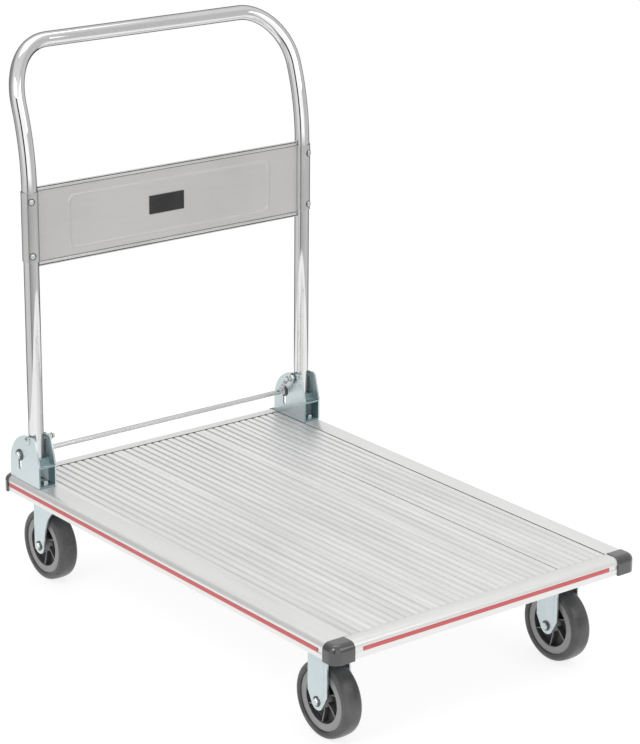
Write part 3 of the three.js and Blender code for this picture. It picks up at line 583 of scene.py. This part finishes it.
GROOVE_SHAPE = ((3.6, 0), (2.9, 0.12), (2.3, 0.42), (1.7, 0.8), (1.0, 1.1))  # from its middle, and down
PLANK_LAND = 4  # least flat width along each edge of a plank
PLANK_LIP = 9
PLANK_WALL = 2.2
PLANK_SKIN = 2.4  # thickness under a groove
PLANK_EDGE = ((0, 0.5), (0.2, 0.15), (0.6, 0))  # the softened top edge: inward, and down
PLANK_REAR_GAP = 1.9
PLANK_FRONT_GAP = 0.7
GROOVE_FACES = (0.2, 2)  # depths between which a face belongs to a groove
SEAM_SHADE_DEPTH = 7  # how deep a seam's painted shade reaches
TIGHT_SEAM = 0.1  # half of a seam that barely shows
OPEN_SEAM = 1.0  # half of a seam that shows as a dark line
SEAM_REACH = OPEN_SEAM + 0.3  # how far from the seam's middle its painted shade reaches
SEAM_HALVES = (TIGHT_SEAM, TIGHT_SEAM, TIGHT_SEAM, OPEN_SEAM, OPEN_SEAM)


def plank_outline(y0, y1):
    skin = PLANK_TOP - PLANK_SKIN - GROOVE_DEPTH
    lip_top = PLANK_FOOT + PLANK_WALL
    count = int((y1 - y0 - 2 * PLANK_LAND) // GROOVE_PITCH)
    first = (y0 + y1) / 2 - (count - 1) * GROOVE_PITCH / 2
    points = [(y0, PLANK_FOOT), (y0 + PLANK_LIP, PLANK_FOOT), (y0 + PLANK_LIP, lip_top),
              (y0 + PLANK_WALL, lip_top), (y0 + PLANK_WALL, skin), (y1 - PLANK_WALL, skin),
              (y1 - PLANK_WALL, lip_top), (y1 - PLANK_LIP, lip_top), (y1 - PLANK_LIP, PLANK_FOOT),
              (y1, PLANK_FOOT)]
    points += [(y1 - inward, PLANK_TOP - down) for inward, down in PLANK_EDGE]
    for i in reversed(range(count)):
        y = first + i * GROOVE_PITCH
        points += [(y + across, PLANK_TOP - down) for across, down in GROOVE_SHAPE]
        points.append((y, PLANK_TOP - GROOVE_DEPTH))
        points += [(y - across, PLANK_TOP - down) for across, down in reversed(GROOVE_SHAPE)]
    return points + [(y0 + inward, PLANK_TOP - down) for inward, down in reversed(PLANK_EDGE)]


def make_planks():
    for i, (low, high) in enumerate(zip(PLANK_SEAMS, PLANK_SEAMS[1:])):
        low_half, high_half = SEAM_HALVES[i:i + 2]
        bm = bmesh.new()
        outline = plank_outline(low + low_half, high - high_half)
        prism(bm, outline, "x", -SEAM_X + PLANK_REAR_GAP, SEAM_X - PLANK_FRONT_GAP)
        bm.normal_update()
        for face in bm.faces:
            middle = face.calc_center_median()
            down = PLANK_TOP - middle.z
            in_seam_shade = ((low_half == OPEN_SEAM and middle.y - low < SEAM_REACH)
                     or (high_half == OPEN_SEAM and high - middle.y < SEAM_REACH))
            # faces by an open seam take the seams' painted shade, and groove faces the grooves' painted shade
            if down < SEAM_SHADE_DEPTH and in_seam_shade:
                face.material_index = 2
            elif GROOVE_FACES[0] < down < GROOVE_FACES[1]:
                face.material_index = 1
        node = f"deck_plank_{i + 1}"
        make(f"{node}_ribbed", bm, [deck_finish, groove_painted_shade, seam_painted_shade], "deck",
             (node,))


RAIL_LIP = 12
INLAY_HALF = 3.4
INLAY_DEPTH = 1.2
SIDE_RAIL_ENDS = (-438.7, 428)
END_RAILS = (("rear", -1, 262.2), ("front", 1, 264.7))  # end, direction, half its length


def rail_outline(width, stripe_z):
    """The channel's section: u grows outward from the seam at 0 to the outer face at `width`."""
    cu, cz = width - RAIL_EDGE_RADIUS, RAIL_TOP - RAIL_EDGE_RADIUS
    low, high = stripe_z - INLAY_HALF, stripe_z + INLAY_HALF
    return [(0, RAIL_BOTTOM), (RAIL_WALL, RAIL_BOTTOM), (RAIL_WALL, RAIL_TOP - RAIL_WALL),
            *arc(cu, cz, RAIL_EDGE_RADIUS - RAIL_WALL, math.pi / 2, 0, 8),
            (width - RAIL_WALL, RAIL_BOTTOM + RAIL_WALL), (width - RAIL_LIP, RAIL_BOTTOM + RAIL_WALL),
            (width - RAIL_LIP, RAIL_BOTTOM), (width - 1, RAIL_BOTTOM), (width - 0.3, RAIL_BOTTOM + 0.3),
            (width, RAIL_BOTTOM + 1), (width, low - 0.4), (width - 0.3, low), (width - INLAY_DEPTH, low),
            (width - INLAY_DEPTH, high), (width - 0.3, high), (width, high + 0.4),
            *arc(cu, cz, RAIL_EDGE_RADIUS, 0, math.pi / 2, 12),
            (0.6, RAIL_TOP), (0.15, RAIL_TOP - 0.2), (0, RAIL_TOP - 0.6)]


def darken_web(bm, index, seam):
    """The rail's inner web, which faces the planks, takes the seam's painted shade."""
    for face in bm.faces:
        if abs(face.calc_center_median()[index] - seam) < 0.1:
            face.material_index = 1


def flip(bm, sign_x, sign_y):
    bmesh.ops.transform(bm, matrix=Matrix.Diagonal((sign_x, sign_y, 1, 1)), verts=bm.verts)


def make_rails():
    side = [(SEAM_Y + u, z) for u, z in rail_outline(RAIL_FACE_Y - SEAM_Y, SIDE_STRIPE_Z)]
    end = [(SEAM_X + u, z) for u, z in rail_outline(RAIL_FACE_X - SEAM_X, END_STRIPE_Z)]
    for name, sign in SIDES:
        bm = bmesh.new()
        prism(bm, side, "x", *SIDE_RAIL_ENDS)
        if sign > 0:
            darken_web(bm, 1, SEAM_Y)
        flip(bm, 1, sign)
        make(f"side_rail_{name}_look", bm, [rail_finish, seam_painted_shade], "deck",
             (f"side_rail_{name}",))
        refine(f"side_stripe_{name}", red_finish, "deck", 0.25)
    for name, sign, half in END_RAILS:
        bm = bmesh.new()
        prism(bm, end, "y", -half, half)
        darken_web(bm, 0, SEAM_X)
        flip(bm, sign, 1)
        make(f"end_rail_{name}_look", bm, [end_rail_finish, seam_painted_shade], "deck",
             (f"end_rail_{name}",))
        refine(f"end_stripe_{name}", red_finish, "deck", 0.25)


CAP_CORNER_RADIUS = 16.5
CAP_EDGE_RADIUS = 11.5
CAP_TOP = 197.6
CAP_BOTTOM = 167.5
CAPS = (("rear", -1, 18, 42.5), ("front", 1, 28.7, 40))  # end, direction, length, width
NEAR = 1e-3  # coordinates in a mesh are rounded to 32 bits


def put_in_order(bm):
    """Orders a mesh by place, since a bevel lists what it makes in an order that varies from run to run."""
    slant = Vector((1, 0.6180339, 0.3247179))
    bm.verts.sort(key=lambda v: v.co.dot(slant))
    bm.edges.sort(key=lambda e: (e.verts[0].co + e.verts[1].co).dot(slant))
    bm.faces.sort(key=lambda f: f.calc_center_median().dot(slant))


def rounded_box(bm, x0, x1, y0, y1, z0, z1):
    """A box whose corner at (x1, y1) and outer top edges are rounded."""
    corners = [bm.verts.new((x, y, z)) for z in (z0, z1) for x, y in ((x0, y0), (x1, y0), (x1, y1), (x0, y1))]
    for ids in ((0, 1, 2, 3), (4, 5, 6, 7), (0, 1, 5, 4), (1, 2, 6, 5), (2, 3, 7, 6), (3, 0, 4, 7)):
        bm.faces.new([corners[i] for i in ids])
    bmesh.ops.recalc_face_normals(bm, faces=bm.faces)
    upright = [e for e in bm.edges if all(x1 - v.co.x < NEAR and y1 - v.co.y < NEAR for v in e.verts)]
    bmesh.ops.bevel(bm, geom=upright, offset=CAP_CORNER_RADIUS, offset_type="OFFSET", segments=14,
                    profile=0.5, affect="EDGES")
    bm.normal_update()
    rim = [e for e in bm.edges if all(z1 - v.co.z < NEAR for v in e.verts)
           and any(f.normal.x > 0.01 or f.normal.y > 0.01 for f in e.link_faces)]
    bmesh.ops.bevel(bm, geom=rim, offset=CAP_EDGE_RADIUS, offset_type="OFFSET", segments=10,
                    profile=0.5, affect="EDGES")
    put_in_order(bm)


def make_caps():
    for end, sign_x, length, width in CAPS:
        for side, sign_y in SIDES:
            bm = bmesh.new()
            rounded_box(bm, HALF_LENGTH - length, HALF_LENGTH, HALF_WIDTH - width, HALF_WIDTH,
                        CAP_BOTTOM, CAP_TOP)
            flip(bm, sign_x, sign_y)
            node = f"corner_cap_{end}_{side}"
            make(f"{node}_look", bm, cap_finish, "deck", (node,), 0.7, 40)


# ---- casters ------------------------------------------------------------------------------------------

def wheel_profile(half_profile):
    """A closed section from the half with negative y."""
    return half_profile + [(r, -y) for r, y in reversed(half_profile)] + [half_profile[0]]


TYRE_SIDES = 96
RIM_SIDES = 72
TYRE_HALF = [(50, -15.2), (50.5, -16.2), (51.4, -16.7), (52.6, -16.9), (53, -16.5), (53.8, -16.5),
             (54.2, -17), (57, -17), (58.8, -16.3), (60.3, -14.9), (61.3, -12.8), (61.9, -10), (62.3, -6.5),
             (62.5, -2.4), (62.5, -0.5)]
RIM_HALF = [(7.3, -19.2), (12.2, -19.2), (13, -18.4), (13.2, -4), (14.5, -2.5), (35.2, -2.5), (36.8, -4),
            (37.2, -14.2), (38, -15), (40, -15), (40.5, -14.6), (48.6, -14.6), (49.6, -14.2)]
SPOKE_COUNT = 6
SPOKE_INNER = 12.5
SPOKE_LENGTH = 26
SPOKE_STEPS = 8
SPOKE_LAYERS = ((1.5, 2, 11.5), (0.8, 11.5, 12.4))  # half its thickness, and where it starts and ends
POCKET_FLOOR = 11.6  # faces nearer the wheel's middle than this take the painted shade
HUB_FACE = 13.1
RIM_POCKET = 37.6


def spoke_path(start, bend):
    """Radius and angle along a curved spoke; bend is 1 or -1."""
    steps = [i / SPOKE_STEPS for i in range(SPOKE_STEPS + 1)]
    return [(SPOKE_INNER + SPOKE_LENGTH * t, start + bend * (0.15 + 0.75 * t - 0.35 * t * t)) for t in steps]


def make_wheel(name, body, x, y):
    bm = bmesh.new()
    lathe(bm, wheel_profile(TYRE_HALF), TYRE_SIDES, "y", (x, WHEEL_RADIUS))
    for vert in bm.verts:
        vert.co.y += y
    make(f"{name}_tyre_look", bm, tyre_finish, body, (f"{name}_tyre",))
    bm = bmesh.new()
    lathe(bm, wheel_profile(RIM_HALF), RIM_SIDES, "y", (0, 0))
    for k in range(SPOKE_COUNT):
        start = math.tau * k / SPOKE_COUNT
        for out in (-1, 1):
            path = spoke_path(start, out)
            for half, low, high in SPOKE_LAYERS:
                edges = [[(r * math.cos(a) - shift * math.sin(a), r * math.sin(a) + shift * math.cos(a))
                          for r, a in path] for shift in (-half, half)]
                prism(bm, edges[0] + edges[1][::-1], "y", *sorted((out * low, out * high)))
    for face in bm.faces:
        middle = face.calc_center_median()
        if HUB_FACE < math.hypot(middle.x, middle.z) < RIM_POCKET and abs(middle.y) < POCKET_FLOOR:
            face.material_index = 1
    for vert in bm.verts:
        vert.co += Vector((x, y, WHEEL_RADIUS))
    make(f"{name}_rim_look", bm, [rim_finish, pocket_painted_shade], body, (f"{name}_rim",), 0.25)


# radius and height of each washer, head, nut and bolt end
AXLE_WASHER = (8.6, 1.2)
AXLE_HEAD = (6.6, 3.8)
AXLE_NUT = (6.8, 5.2)
AXLE_END = (3.9, 2.2)


def make_axle(name, body, x, y):
    bm = bmesh.new()
    centre = (x, WHEEL_RADIUS)
    for out, hexagonal in ((-1, AXLE_HEAD), (1, AXLE_NUT)):
        face = y + out * (LEG_OUTER + 0.1)
        washer(bm, "y", centre, face, out, *AXLE_WASHER)
        face += out * AXLE_WASHER[1]
        hexagon(bm, "y", centre, face, out, *hexagonal)
        if out > 0:
            disc(bm, "y", centre, face + AXLE_NUT[1], out, *AXLE_END, 24, 0.8)
    shank(bm, "y", centre, y - LEG_OUTER, y + LEG_OUTER, 24)
    make(f"{name}_axle_bolt_look", bm, FASTENER, body, (f"{name}_axle_bolt",))


PAD_HALF = 16
PAD_TIP = 9
PAD_CORNER = 4
PAD_SUNK = 0.5
PAD_PROUD = 0.45


def leg_pad(bm, x, y, out):
    """The shallow raised field pressed into a fixed caster's leg."""
    left, right = x - PAD_HALF, x + PAD_HALF
    low, high, top = WHEEL_RADIUS + 15, PLATE_BOTTOM - 13, PLATE_BOTTOM - 9
    points = arc(x, WHEEL_RADIUS, PAD_TIP, -math.pi + 0.35, -0.35, 12)
    points += [(right, low), (right, high), (right - PAD_CORNER, top), (left + PAD_CORNER, top),
               (left, high), (left, low)]
    face = y + out * LEG_OUTER
    prism(bm, points, "y", *sorted((face - out * PAD_SUNK, face + out * PAD_PROUD)))


CASTER_WASHER = (8.4, 1.1)
CASTER_HEAD = (7.2, 5.2)
CASTER_NUT = (7.2, 5.6)
BEAM_SHELF = 171.6  # the nuts tighten down on it, inside the beam
CASTER_BOLT_TOP = 180.2


def caster_bolts(name, x, y):
    bm = bmesh.new()
    height = CASTER_WASHER[1]
    for dx in (-1, 1):
        for dy in (-1, 1):
            centre = (x + dx * BOLT_SPACING_X / 2, y + dy * BOLT_SPACING_Y / 2)
            disc(bm, "z", centre, PLATE_BOTTOM, -1, *CASTER_WASHER)
            hexagon(bm, "z", centre, PLATE_BOTTOM - height, -1, *CASTER_HEAD, 0.2 + dx * 0.3 + dy * 0.5)
            shank(bm, "z", centre, PLATE_BOTTOM, CASTER_BOLT_TOP)
            disc(bm, "z", centre, BEAM_SHELF, 1, *CASTER_WASHER)
            hexagon(bm, "z", centre, BEAM_SHELF + height, 1, *CASTER_NUT, 0.7 - dx * 0.2)
    make(f"{name}_caster_bolts", bm, bolt_finish, "deck")


def make_casters():
    for side, sign in SIDES:
        y = sign * CASTER_Y
        front = f"front_{side}"
        bm = from_node(f"{front}_caster_frame")
        bmesh.ops.transform(bm, matrix=TO_ROW.inverted(), verts=bm.verts)
        for out in (-1, 1):
            leg_pad(bm, FRONT_AXLE_X, y, out)
        make(f"{front}_caster_frame_look", bm, zinc_finish, "deck",
             (f"{front}_caster_frame",), 0.4)
        make_axle(front, "deck", FRONT_AXLE_X, y)
        refine(f"{front}_bushing", steel_finish, "deck", 0.3)
        make_wheel(front, f"{front}_wheel", FRONT_AXLE_X, y)
        caster_bolts(front, FRONT_AXLE_X, y)

        rear = f"rear_{side}"
        swivel = f"{rear}_swivel"
        refine(f"{rear}_swivel_plate", zinc_finish, "deck")
        refine(f"{rear}_swivel_fork", zinc_finish, swivel, 0.5)
        make_axle(rear, swivel, REAR_AXLE_X, y)
        refine(f"{rear}_bushing", steel_finish, swivel, 0.3)
        make_wheel(rear, f"{rear}_wheel", REAR_AXLE_X, y)
        caster_bolts(rear, SWIVEL_X, y)
        make_swivel_head(rear, SWIVEL_X, y)


CROWN_PLATE = 3.8  # thickness of the fork's crown
KINGPIN_RADIUS = 5.95
KINGPIN_WASHER = (12, 1.4)
KINGPIN_NUT = (10, 5.6)


def make_swivel_head(rear, x, y):
    bm = bmesh.new()
    low, high = CROWN_TOP + 0.35, PLATE_BOTTOM - 0.1
    middle = (low + high) / 2
    race = [(17, low), (24, low), (27.5, low + 1), (28.6, middle - 0.6), (27.2, middle),
            (28.6, middle + 0.6), (27.5, high - 1), (24, high), (17, high), (17, low)]
    lathe(bm, race, 64, "z", (x, y))
    make(f"{rear}_swivel_bearing_look", bm, steel_finish, "deck", (f"{rear}_swivel_bearing",))
    bm = bmesh.new()
    nut_top = CROWN_TOP - CROWN_PLATE
    disc(bm, "z", (x, y), nut_top, -1, *KINGPIN_WASHER)
    hexagon(bm, "z", (x, y), nut_top - KINGPIN_WASHER[1], -1, *KINGPIN_NUT)
    pin = [(0, nut_top), (KINGPIN_RADIUS, nut_top), (KINGPIN_RADIUS, PLATE_TOP - 0.7),
           (KINGPIN_RADIUS - 0.55, PLATE_TOP - 0.2), (0, PLATE_TOP - 0.2)]
    lathe(bm, pin, 32, "z", (x, y))
    make(f"{rear}_kingpin_look", bm, steel_finish, "deck", (f"{rear}_kingpin",))


# ---- hinge brackets and release bar -------------------------------------------------------------------

BRACKET_WASHER = (8.4, 1.2)
BRACKET_HEAD = (7.2, 5)
BRACKET_BOLT_FOOT = 188
PIN_HEAD = ((0, 0.1), (6.8, 0.1), (7, 0.6), (6.5, 1.8), (5, 2.8), (2.4, 3.3), (0, 3.3))
PIN_OVERHANG = 4.5  # how far the pin reaches past its spring
PIN_WASHER = (8.6, 1.2)
SMALL_NUT = (7.2, 5)
BAR_NUT = (7.5, 5)
BAR_OUTER_WASHER = (10, 1.6)
BAR_INNER_WASHER = (10, 1.3)
PLAY = 0.3  # between a cheek and the release bar's washers


def make_bracket(side, sign):
    node = f"hinge_bracket_{side}"
    bm = from_node(node)
    bmesh.ops.transform(bm, matrix=TO_ROW.inverted(), verts=bm.verts)
    for point, normal in (((0, 0, SHELF_MIDDLE), (0, 0, 1)), ((WINDOW_BACK, 0, 0), (1, 0, 0))):
        everything = bm.verts[:] + bm.edges[:] + bm.faces[:]
        bmesh.ops.bisect_plane(bm, geom=everything, plane_co=point, plane_no=normal)
    # inside the cheeks and in front of the window, faces take painted shade below the shelf and painted half
    # shade above it
    for face in bm.faces:
        middle = face.calc_center_median()
        if abs(middle.y - sign * HANDLE_Y) < CHEEK_INNER + 0.2 and middle.x > WINDOW_BACK:
            face.material_index = 1 if middle.z < SHELF_MIDDLE else 2
    make(f"{node}_look", bm, [zinc_finish, shade_finish, half_shade_finish], "deck", (node,), 0.45)

    bm = bmesh.new()
    for x in BRACKET_BOLT_X:
        centre = (x, sign * HANDLE_Y)
        disc(bm, "z", centre, BASE_TOP, 1, *BRACKET_WASHER)
        hexagon(bm, "z", centre, BASE_TOP + BRACKET_WASHER[1], 1, *BRACKET_HEAD, 0.5)
        shank(bm, "z", centre, BRACKET_BOLT_FOOT, BASE_TOP + 1)
    make(f"bracket_bolts_{side}", bm, bolt_finish, "deck")

    bm = bmesh.new()
    pivot = (HANDLE_X, PIVOT_Z)
    face = sign * (HANDLE_Y + CHEEK_OUTER)
    inner = sign * (SPRING_Y - PIN_OVERHANG)
    end = face + sign * 0.2
    lathe(bm, [(0, inner), (3.4, inner), (PIN_RADIUS, inner + sign * 0.6), (PIN_RADIUS, end), (0, end)],
          32, "y", pivot)
    lathe(bm, [(radius, face + sign * out) for radius, out in PIN_HEAD], 36, "y", pivot)
    cheek = sign * (HANDLE_Y - CHEEK_OUTER) - sign * 0.1
    washer(bm, "y", pivot, cheek, -sign, *PIN_WASHER)
    hexagon(bm, "y", pivot, cheek - sign * PIN_WASHER[1], -sign, *SMALL_NUT, 0.1)
    make(f"pivot_pin_{side}_look", bm, FASTENER, "deck", (f"pivot_pin_{side}",))

    bm = bmesh.new()
    bar = (BAR_X, BAR_Z)
    outside = face + sign * PLAY
    washer(bm, "y", bar, outside, sign, *BAR_OUTER_WASHER, 0.6)
    hexagon(bm, "y", bar, outside + sign * BAR_OUTER_WASHER[1], sign, *BAR_NUT, 0.15)
    make(f"release_bar_nut_{side}_look", bm, FASTENER, "release",
         (f"release_bar_nut_{side}",))


SPRING_RADIUS = 3.2
WIRE_RADIUS = 0.65
WIRE_SIDES = 8
COILS = 15
COIL_STEPS = 12
HOOK_STEPS = 14
HOOK_NECK = 2.2  # length from a hook to the first coil


def make_spring(side, sign):
    """An extension spring with a hook round the pivot pin and one round the release bar."""
    top = Vector((HANDLE_X, sign * SPRING_Y, PIVOT_Z))
    foot = Vector((BAR_X, sign * SPRING_Y, BAR_Z))
    along = (foot - top).normalized()
    span = (foot - top).length
    across = Vector((0, 1, 0)).cross(along)
    lateral = Vector((0, 1, 0))
    hook = PIN_RADIUS + WIRE_RADIUS + 0.15

    def hook_points(centre, out):
        return [centre - out * hook * math.cos(a) + across * hook * math.sin(a)
                for a in (math.pi * (1.75 - 1.5 * i / HOOK_STEPS) for i in range(HOOK_STEPS + 1))]

    start, end = hook + HOOK_NECK, span - hook - HOOK_NECK
    coil = []
    steps = COILS * COIL_STEPS
    for i in range(steps + 1):
        angle = math.tau * COILS * i / steps
        centre = top + along * (start + (end - start) * i / steps)
        coil.append(centre + (across * math.cos(angle) + lateral * math.sin(angle)) * SPRING_RADIUS)
    path = hook_points(top, -along)[::-1][:-2] + coil + hook_points(foot, along)[2:]
    bm = bmesh.new()
    sweep(bm, path, WIRE_RADIUS, WIRE_SIDES)
    spring = make(f"return_spring_{side}_coil", bm, spring_finish, None,
                  (f"return_spring_{side}",))
    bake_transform(spring)


BAR_STUB = 7.8  # how far the bar sticks out of a cheek
BAR_CHAMFER = 0.8


def make_release_bar():
    bm = bmesh.new()
    end = HANDLE_Y + CHEEK_OUTER + BAR_STUB
    tip = BAR_RADIUS - BAR_CHAMFER
    bar = (BAR_X, BAR_Z)
    lathe(bm, [(0, -end), (tip, -end), (BAR_RADIUS, -end + BAR_CHAMFER), (BAR_RADIUS, end - BAR_CHAMFER),
               (tip, end), (0, end)], 40, "y", bar)
    for sign in (-1, 1):
        inner = sign * (HANDLE_Y - CHEEK_OUTER - PLAY)
        washer(bm, "y", bar, inner, -sign, *BAR_INNER_WASHER)
        hexagon(bm, "y", bar, inner - sign * BAR_INNER_WASHER[1], -sign, *BAR_NUT, 0.4)
    make("release_bar_look", bm, [bar_finish, washer_painted_shade], "release", ("release_bar",))


# ---- handle -------------------------------------------------------------------------------------------

def leg_point(length, y):
    """A point of a leg's centre line, at a length along it from the start of its long bend."""
    angle = max(length, 0) / BEND_RADIUS
    x = HANDLE_X - BEND_RADIUS * (1 - math.cos(angle))
    z = BEND_START_Z + BEND_RADIUS * math.sin(angle) + min(length, 0)
    return Vector((x, y, z))


LEG_STEPS, BEND_STEPS, CORNER_STEPS = 8, 16, 28
TUBE_SIDES = 48


def make_tube():
    """The tube's centre line runs up one leg, back in a long bend, round a corner and across, mirrored."""
    lower = TUBE_END_Z - BEND_START_Z
    corner = LEG_ARC - CORNER_UP
    half = [leg_point(lower * (1 - i / LEG_STEPS), HANDLE_Y) for i in range(LEG_STEPS + 1)]
    half += [leg_point(corner * i / BEND_STEPS, HANDLE_Y) for i in range(1, BEND_STEPS + 1)]
    for i in range(1, CORNER_STEPS + 1):
        a = math.pi / 2 * i / CORNER_STEPS
        half.append(leg_point(corner + CORNER_UP * math.sin(a), HANDLE_Y - CORNER_SIDE * (1 - math.cos(a))))
    other = [Vector((p.x, -p.y, p.z)) for p in reversed(half)]
    bm = bmesh.new()
    sweep(bm, half + other, TUBE_RADIUS, TUBE_SIDES)
    make("handle_tube_look", bm, chrome_finish, "handle", ("handle_tube",), sharp=50)


BEAD_HALF_WIDTH = 204.6
BEAD_BOTTOM = 594
BEAD_TOP = 683
BEAD_CORNER = 10
BEAD_UPRIGHT = 2.3  # height of the bead's upright sides
BEAD_LEVEL = 0.8  # and of its level sides
BEAD_SPREAD = 1.6


def bead_height(y, z):
    """Height of the pressed bead that runs round a rounded rectangle."""
    dy = abs(y) - (BEAD_HALF_WIDTH - BEAD_CORNER)
    dz = abs(z - (BEAD_BOTTOM + BEAD_TOP) / 2) - ((BEAD_TOP - BEAD_BOTTOM) / 2 - BEAD_CORNER)
    distance = math.hypot(max(dy, 0), max(dz, 0)) + min(max(dy, dz), 0) - BEAD_CORNER
    upright = 1 if dz < 0 else max(1 - dz / BEAD_CORNER, 0)
    height = BEAD_LEVEL + (BEAD_UPRIGHT - BEAD_LEVEL) * upright if dy > 0 else BEAD_LEVEL
    return height * math.exp(-(distance / BEAD_SPREAD) ** 2)


FINE_STEP = 0.6
COARSE_STEP = 9
FINE_REACH = 4  # the steps grow from this distance outward


def graded(low, high, marks):
    """Positions from low to high, close together around each mark."""
    places, place = [low], low
    while place < high - FINE_STEP / 2:
        near = min(abs(place - mark) for mark in marks)
        if near < FINE_REACH + COARSE_STEP * 0.1:
            place += FINE_STEP
        else:
            place += min(COARSE_STEP, max(FINE_STEP, (near - FINE_REACH) * 0.8))
        places.append(min(place, high))
    return places


def pressed_sheet(bm, ys, zs):
    """A closed sheet with the bead pressed through it: front and back grids joined round the edge."""
    front, back = ([[bm.verts.new((PANEL_FRONT_X - depth + bead_height(y, z), y, z)) for y in ys] for z in zs]
                   for depth in (0, PANEL_SHEET))
    for rows in (front, back):
        for low, high in zip(rows, rows[1:]):
            for i in range(len(ys) - 1):
                bm.faces.new((low[i], low[i + 1], high[i + 1], high[i]))
    loops = [rows[0] + [row[-1] for row in rows[1:-1]] + rows[-1][::-1] + [row[0] for row in rows[-2:0:-1]]
             for rows in (front, back)]
    for i in range(len(loops[0])):
        bm.faces.new((loops[0][i - 1], loops[0][i], loops[1][i], loops[1][i - 1]))


HEM_ROLL = 1.6  # height of a hem's rolled outer edge
CREASE = 1.3  # height of the shadow line along each side of a hem
HEM_EDGES = (0, HEM_ROLL, HEM_ROLL + CREASE, HEM_HEIGHT - CREASE, HEM_HEIGHT)
HEM_STRIPS = ((0, 1), (1.2, 2), (0, 1), (1.35, 2))  # how far each strip stands back, and its finish


def hem_outline(z_low, z_high, depth=0.0):
    """A folded hem: a flat strip with rounded edges, in (x, z)."""
    rear = PANEL_FRONT_X - PANEL_SHEET
    front = rear + HEM_THICKNESS - depth
    r = min(1.4, (front - rear) / 2 - 0.05, (z_high - z_low) / 2 - 0.05)
    quarter = math.pi / 2
    corners = ((front - r, z_high - r), (rear + r, z_high - r), (rear + r, z_low + r), (front - r, z_low + r))
    return [point for i, (x, z) in enumerate(corners)
            for point in arc(x, z, r, quarter * i, quarter * (i + 1), 5)]


def make_hems(bm, reach):
    """Each hem is a rolled outer edge, a bright band, and a shadow line on each side of the band."""
    for outer, inward in ((PANEL_BOTTOM, 1), (PANEL_TOP, -1)):
        edges = [outer + inward * t for t in HEM_EDGES]
        for i, (depth, index) in enumerate(HEM_STRIPS):
            start = len(bm.faces)
            prism(bm, hem_outline(*sorted(edges[i:i + 2]), depth), "y", -reach, reach)
            set_index(bm, start, index)


SHEET_GAP = 0.65  # between the sheet's end and the collar's bore
SHEET_MARGIN = 5  # how far the sheet stops short of each hem's outer edge
COLLAR_START = -math.pi / 2 - 0.1
COLLAR_SWEEP = 11 * math.pi / 6  # the collars are split
COLLAR_STEPS = 56


def make_panel():
    reach = HANDLE_Y - COLLAR_INNER - SHEET_GAP
    bm = bmesh.new()
    ys = graded(-reach, reach, (-BEAD_HALF_WIDTH, BEAD_HALF_WIDTH))
    zs = graded(PANEL_BOTTOM + SHEET_MARGIN, PANEL_TOP - SHEET_MARGIN, (BEAD_BOTTOM, BEAD_TOP))
    pressed_sheet(bm, ys, zs)
    make("handle_panel_sheet", bm, sheet_finish, "handle", ("handle_panel",))

    bm = bmesh.new()
    make_hems(bm, reach)
    end = COLLAR_START + COLLAR_SWEEP
    ring = arc(0, 0, COLLAR_OUTER, COLLAR_START, end, COLLAR_STEPS)
    ring += arc(0, 0, COLLAR_INNER, end, COLLAR_START, COLLAR_STEPS)
    for sign in (-1, 1):
        outline = [(HANDLE_X + u, sign * (HANDLE_Y + v)) for u, v in ring]
        prism(bm, outline, "z", COLLAR_BOTTOM, COLLAR_TOP)
    make("handle_panel_frame", bm, [collar_finish, hem_finish, seam_painted_shade], "handle",
         ("handle_panel",), 0.3, 40)

    for side, sign in SIDES:
        for i, z in enumerate(SCREW_HEIGHTS):
            make_screw(f"panel_screw_{side}_{i + 1}", sign, z)
    refine("label_plate", black_finish, "handle", 0.3)


SCREW_ANGLE = math.radians(20)  # the screws face forward and a little outward
SCREW_WASHER = (6.2, 1.1)
SCREW_PROFILE = [(0, -3), (1.9, -3), (1.9, 0), (4.6, 0), (4.8, 0.6), (4.2, 1.7), (2.6, 2.4), (1.1, 2.5),
                 (0, 2.2)]


def make_screw(name, sign, z):
    bm = bmesh.new()
    washer(bm, "z", (0, 0), -0.6, 1, *SCREW_WASHER)
    lathe(bm, SCREW_PROFILE, 28, "z", (0, 0))
    turn = Matrix.Rotation(sign * SCREW_ANGLE, 4, "Z") @ Matrix.Rotation(math.pi / 2, 4, "Y")
    place = Vector((HANDLE_X, sign * HANDLE_Y, z))
    place += Vector((math.cos(SCREW_ANGLE), sign * math.sin(SCREW_ANGLE), 0)) * COLLAR_OUTER
    bmesh.ops.transform(bm, matrix=Matrix.Translation(place) @ turn, verts=bm.verts)
    make(name, bm, FASTENER, "handle")


# ---- everything ---------------------------------------------------------------------------------------

make_camera()
make_world()
make_stage()
make_planks()
make_rails()
make_caps()
for beam in ("caster_beam_front", "caster_beam_rear", "middle_beam"):
    refine(beam, beam_finish, "deck", 0.3)
make_casters()
for side_name, side_sign in SIDES:
    make_bracket(side_name, side_sign)
    make_spring(side_name, side_sign)
    refine(f"handle_end_plug_{side_name}", zinc_finish, "handle", 0.5)
make_release_bar()
make_tube()
make_panel()

bpy.context.scene.view_settings.view_transform = "Standard"
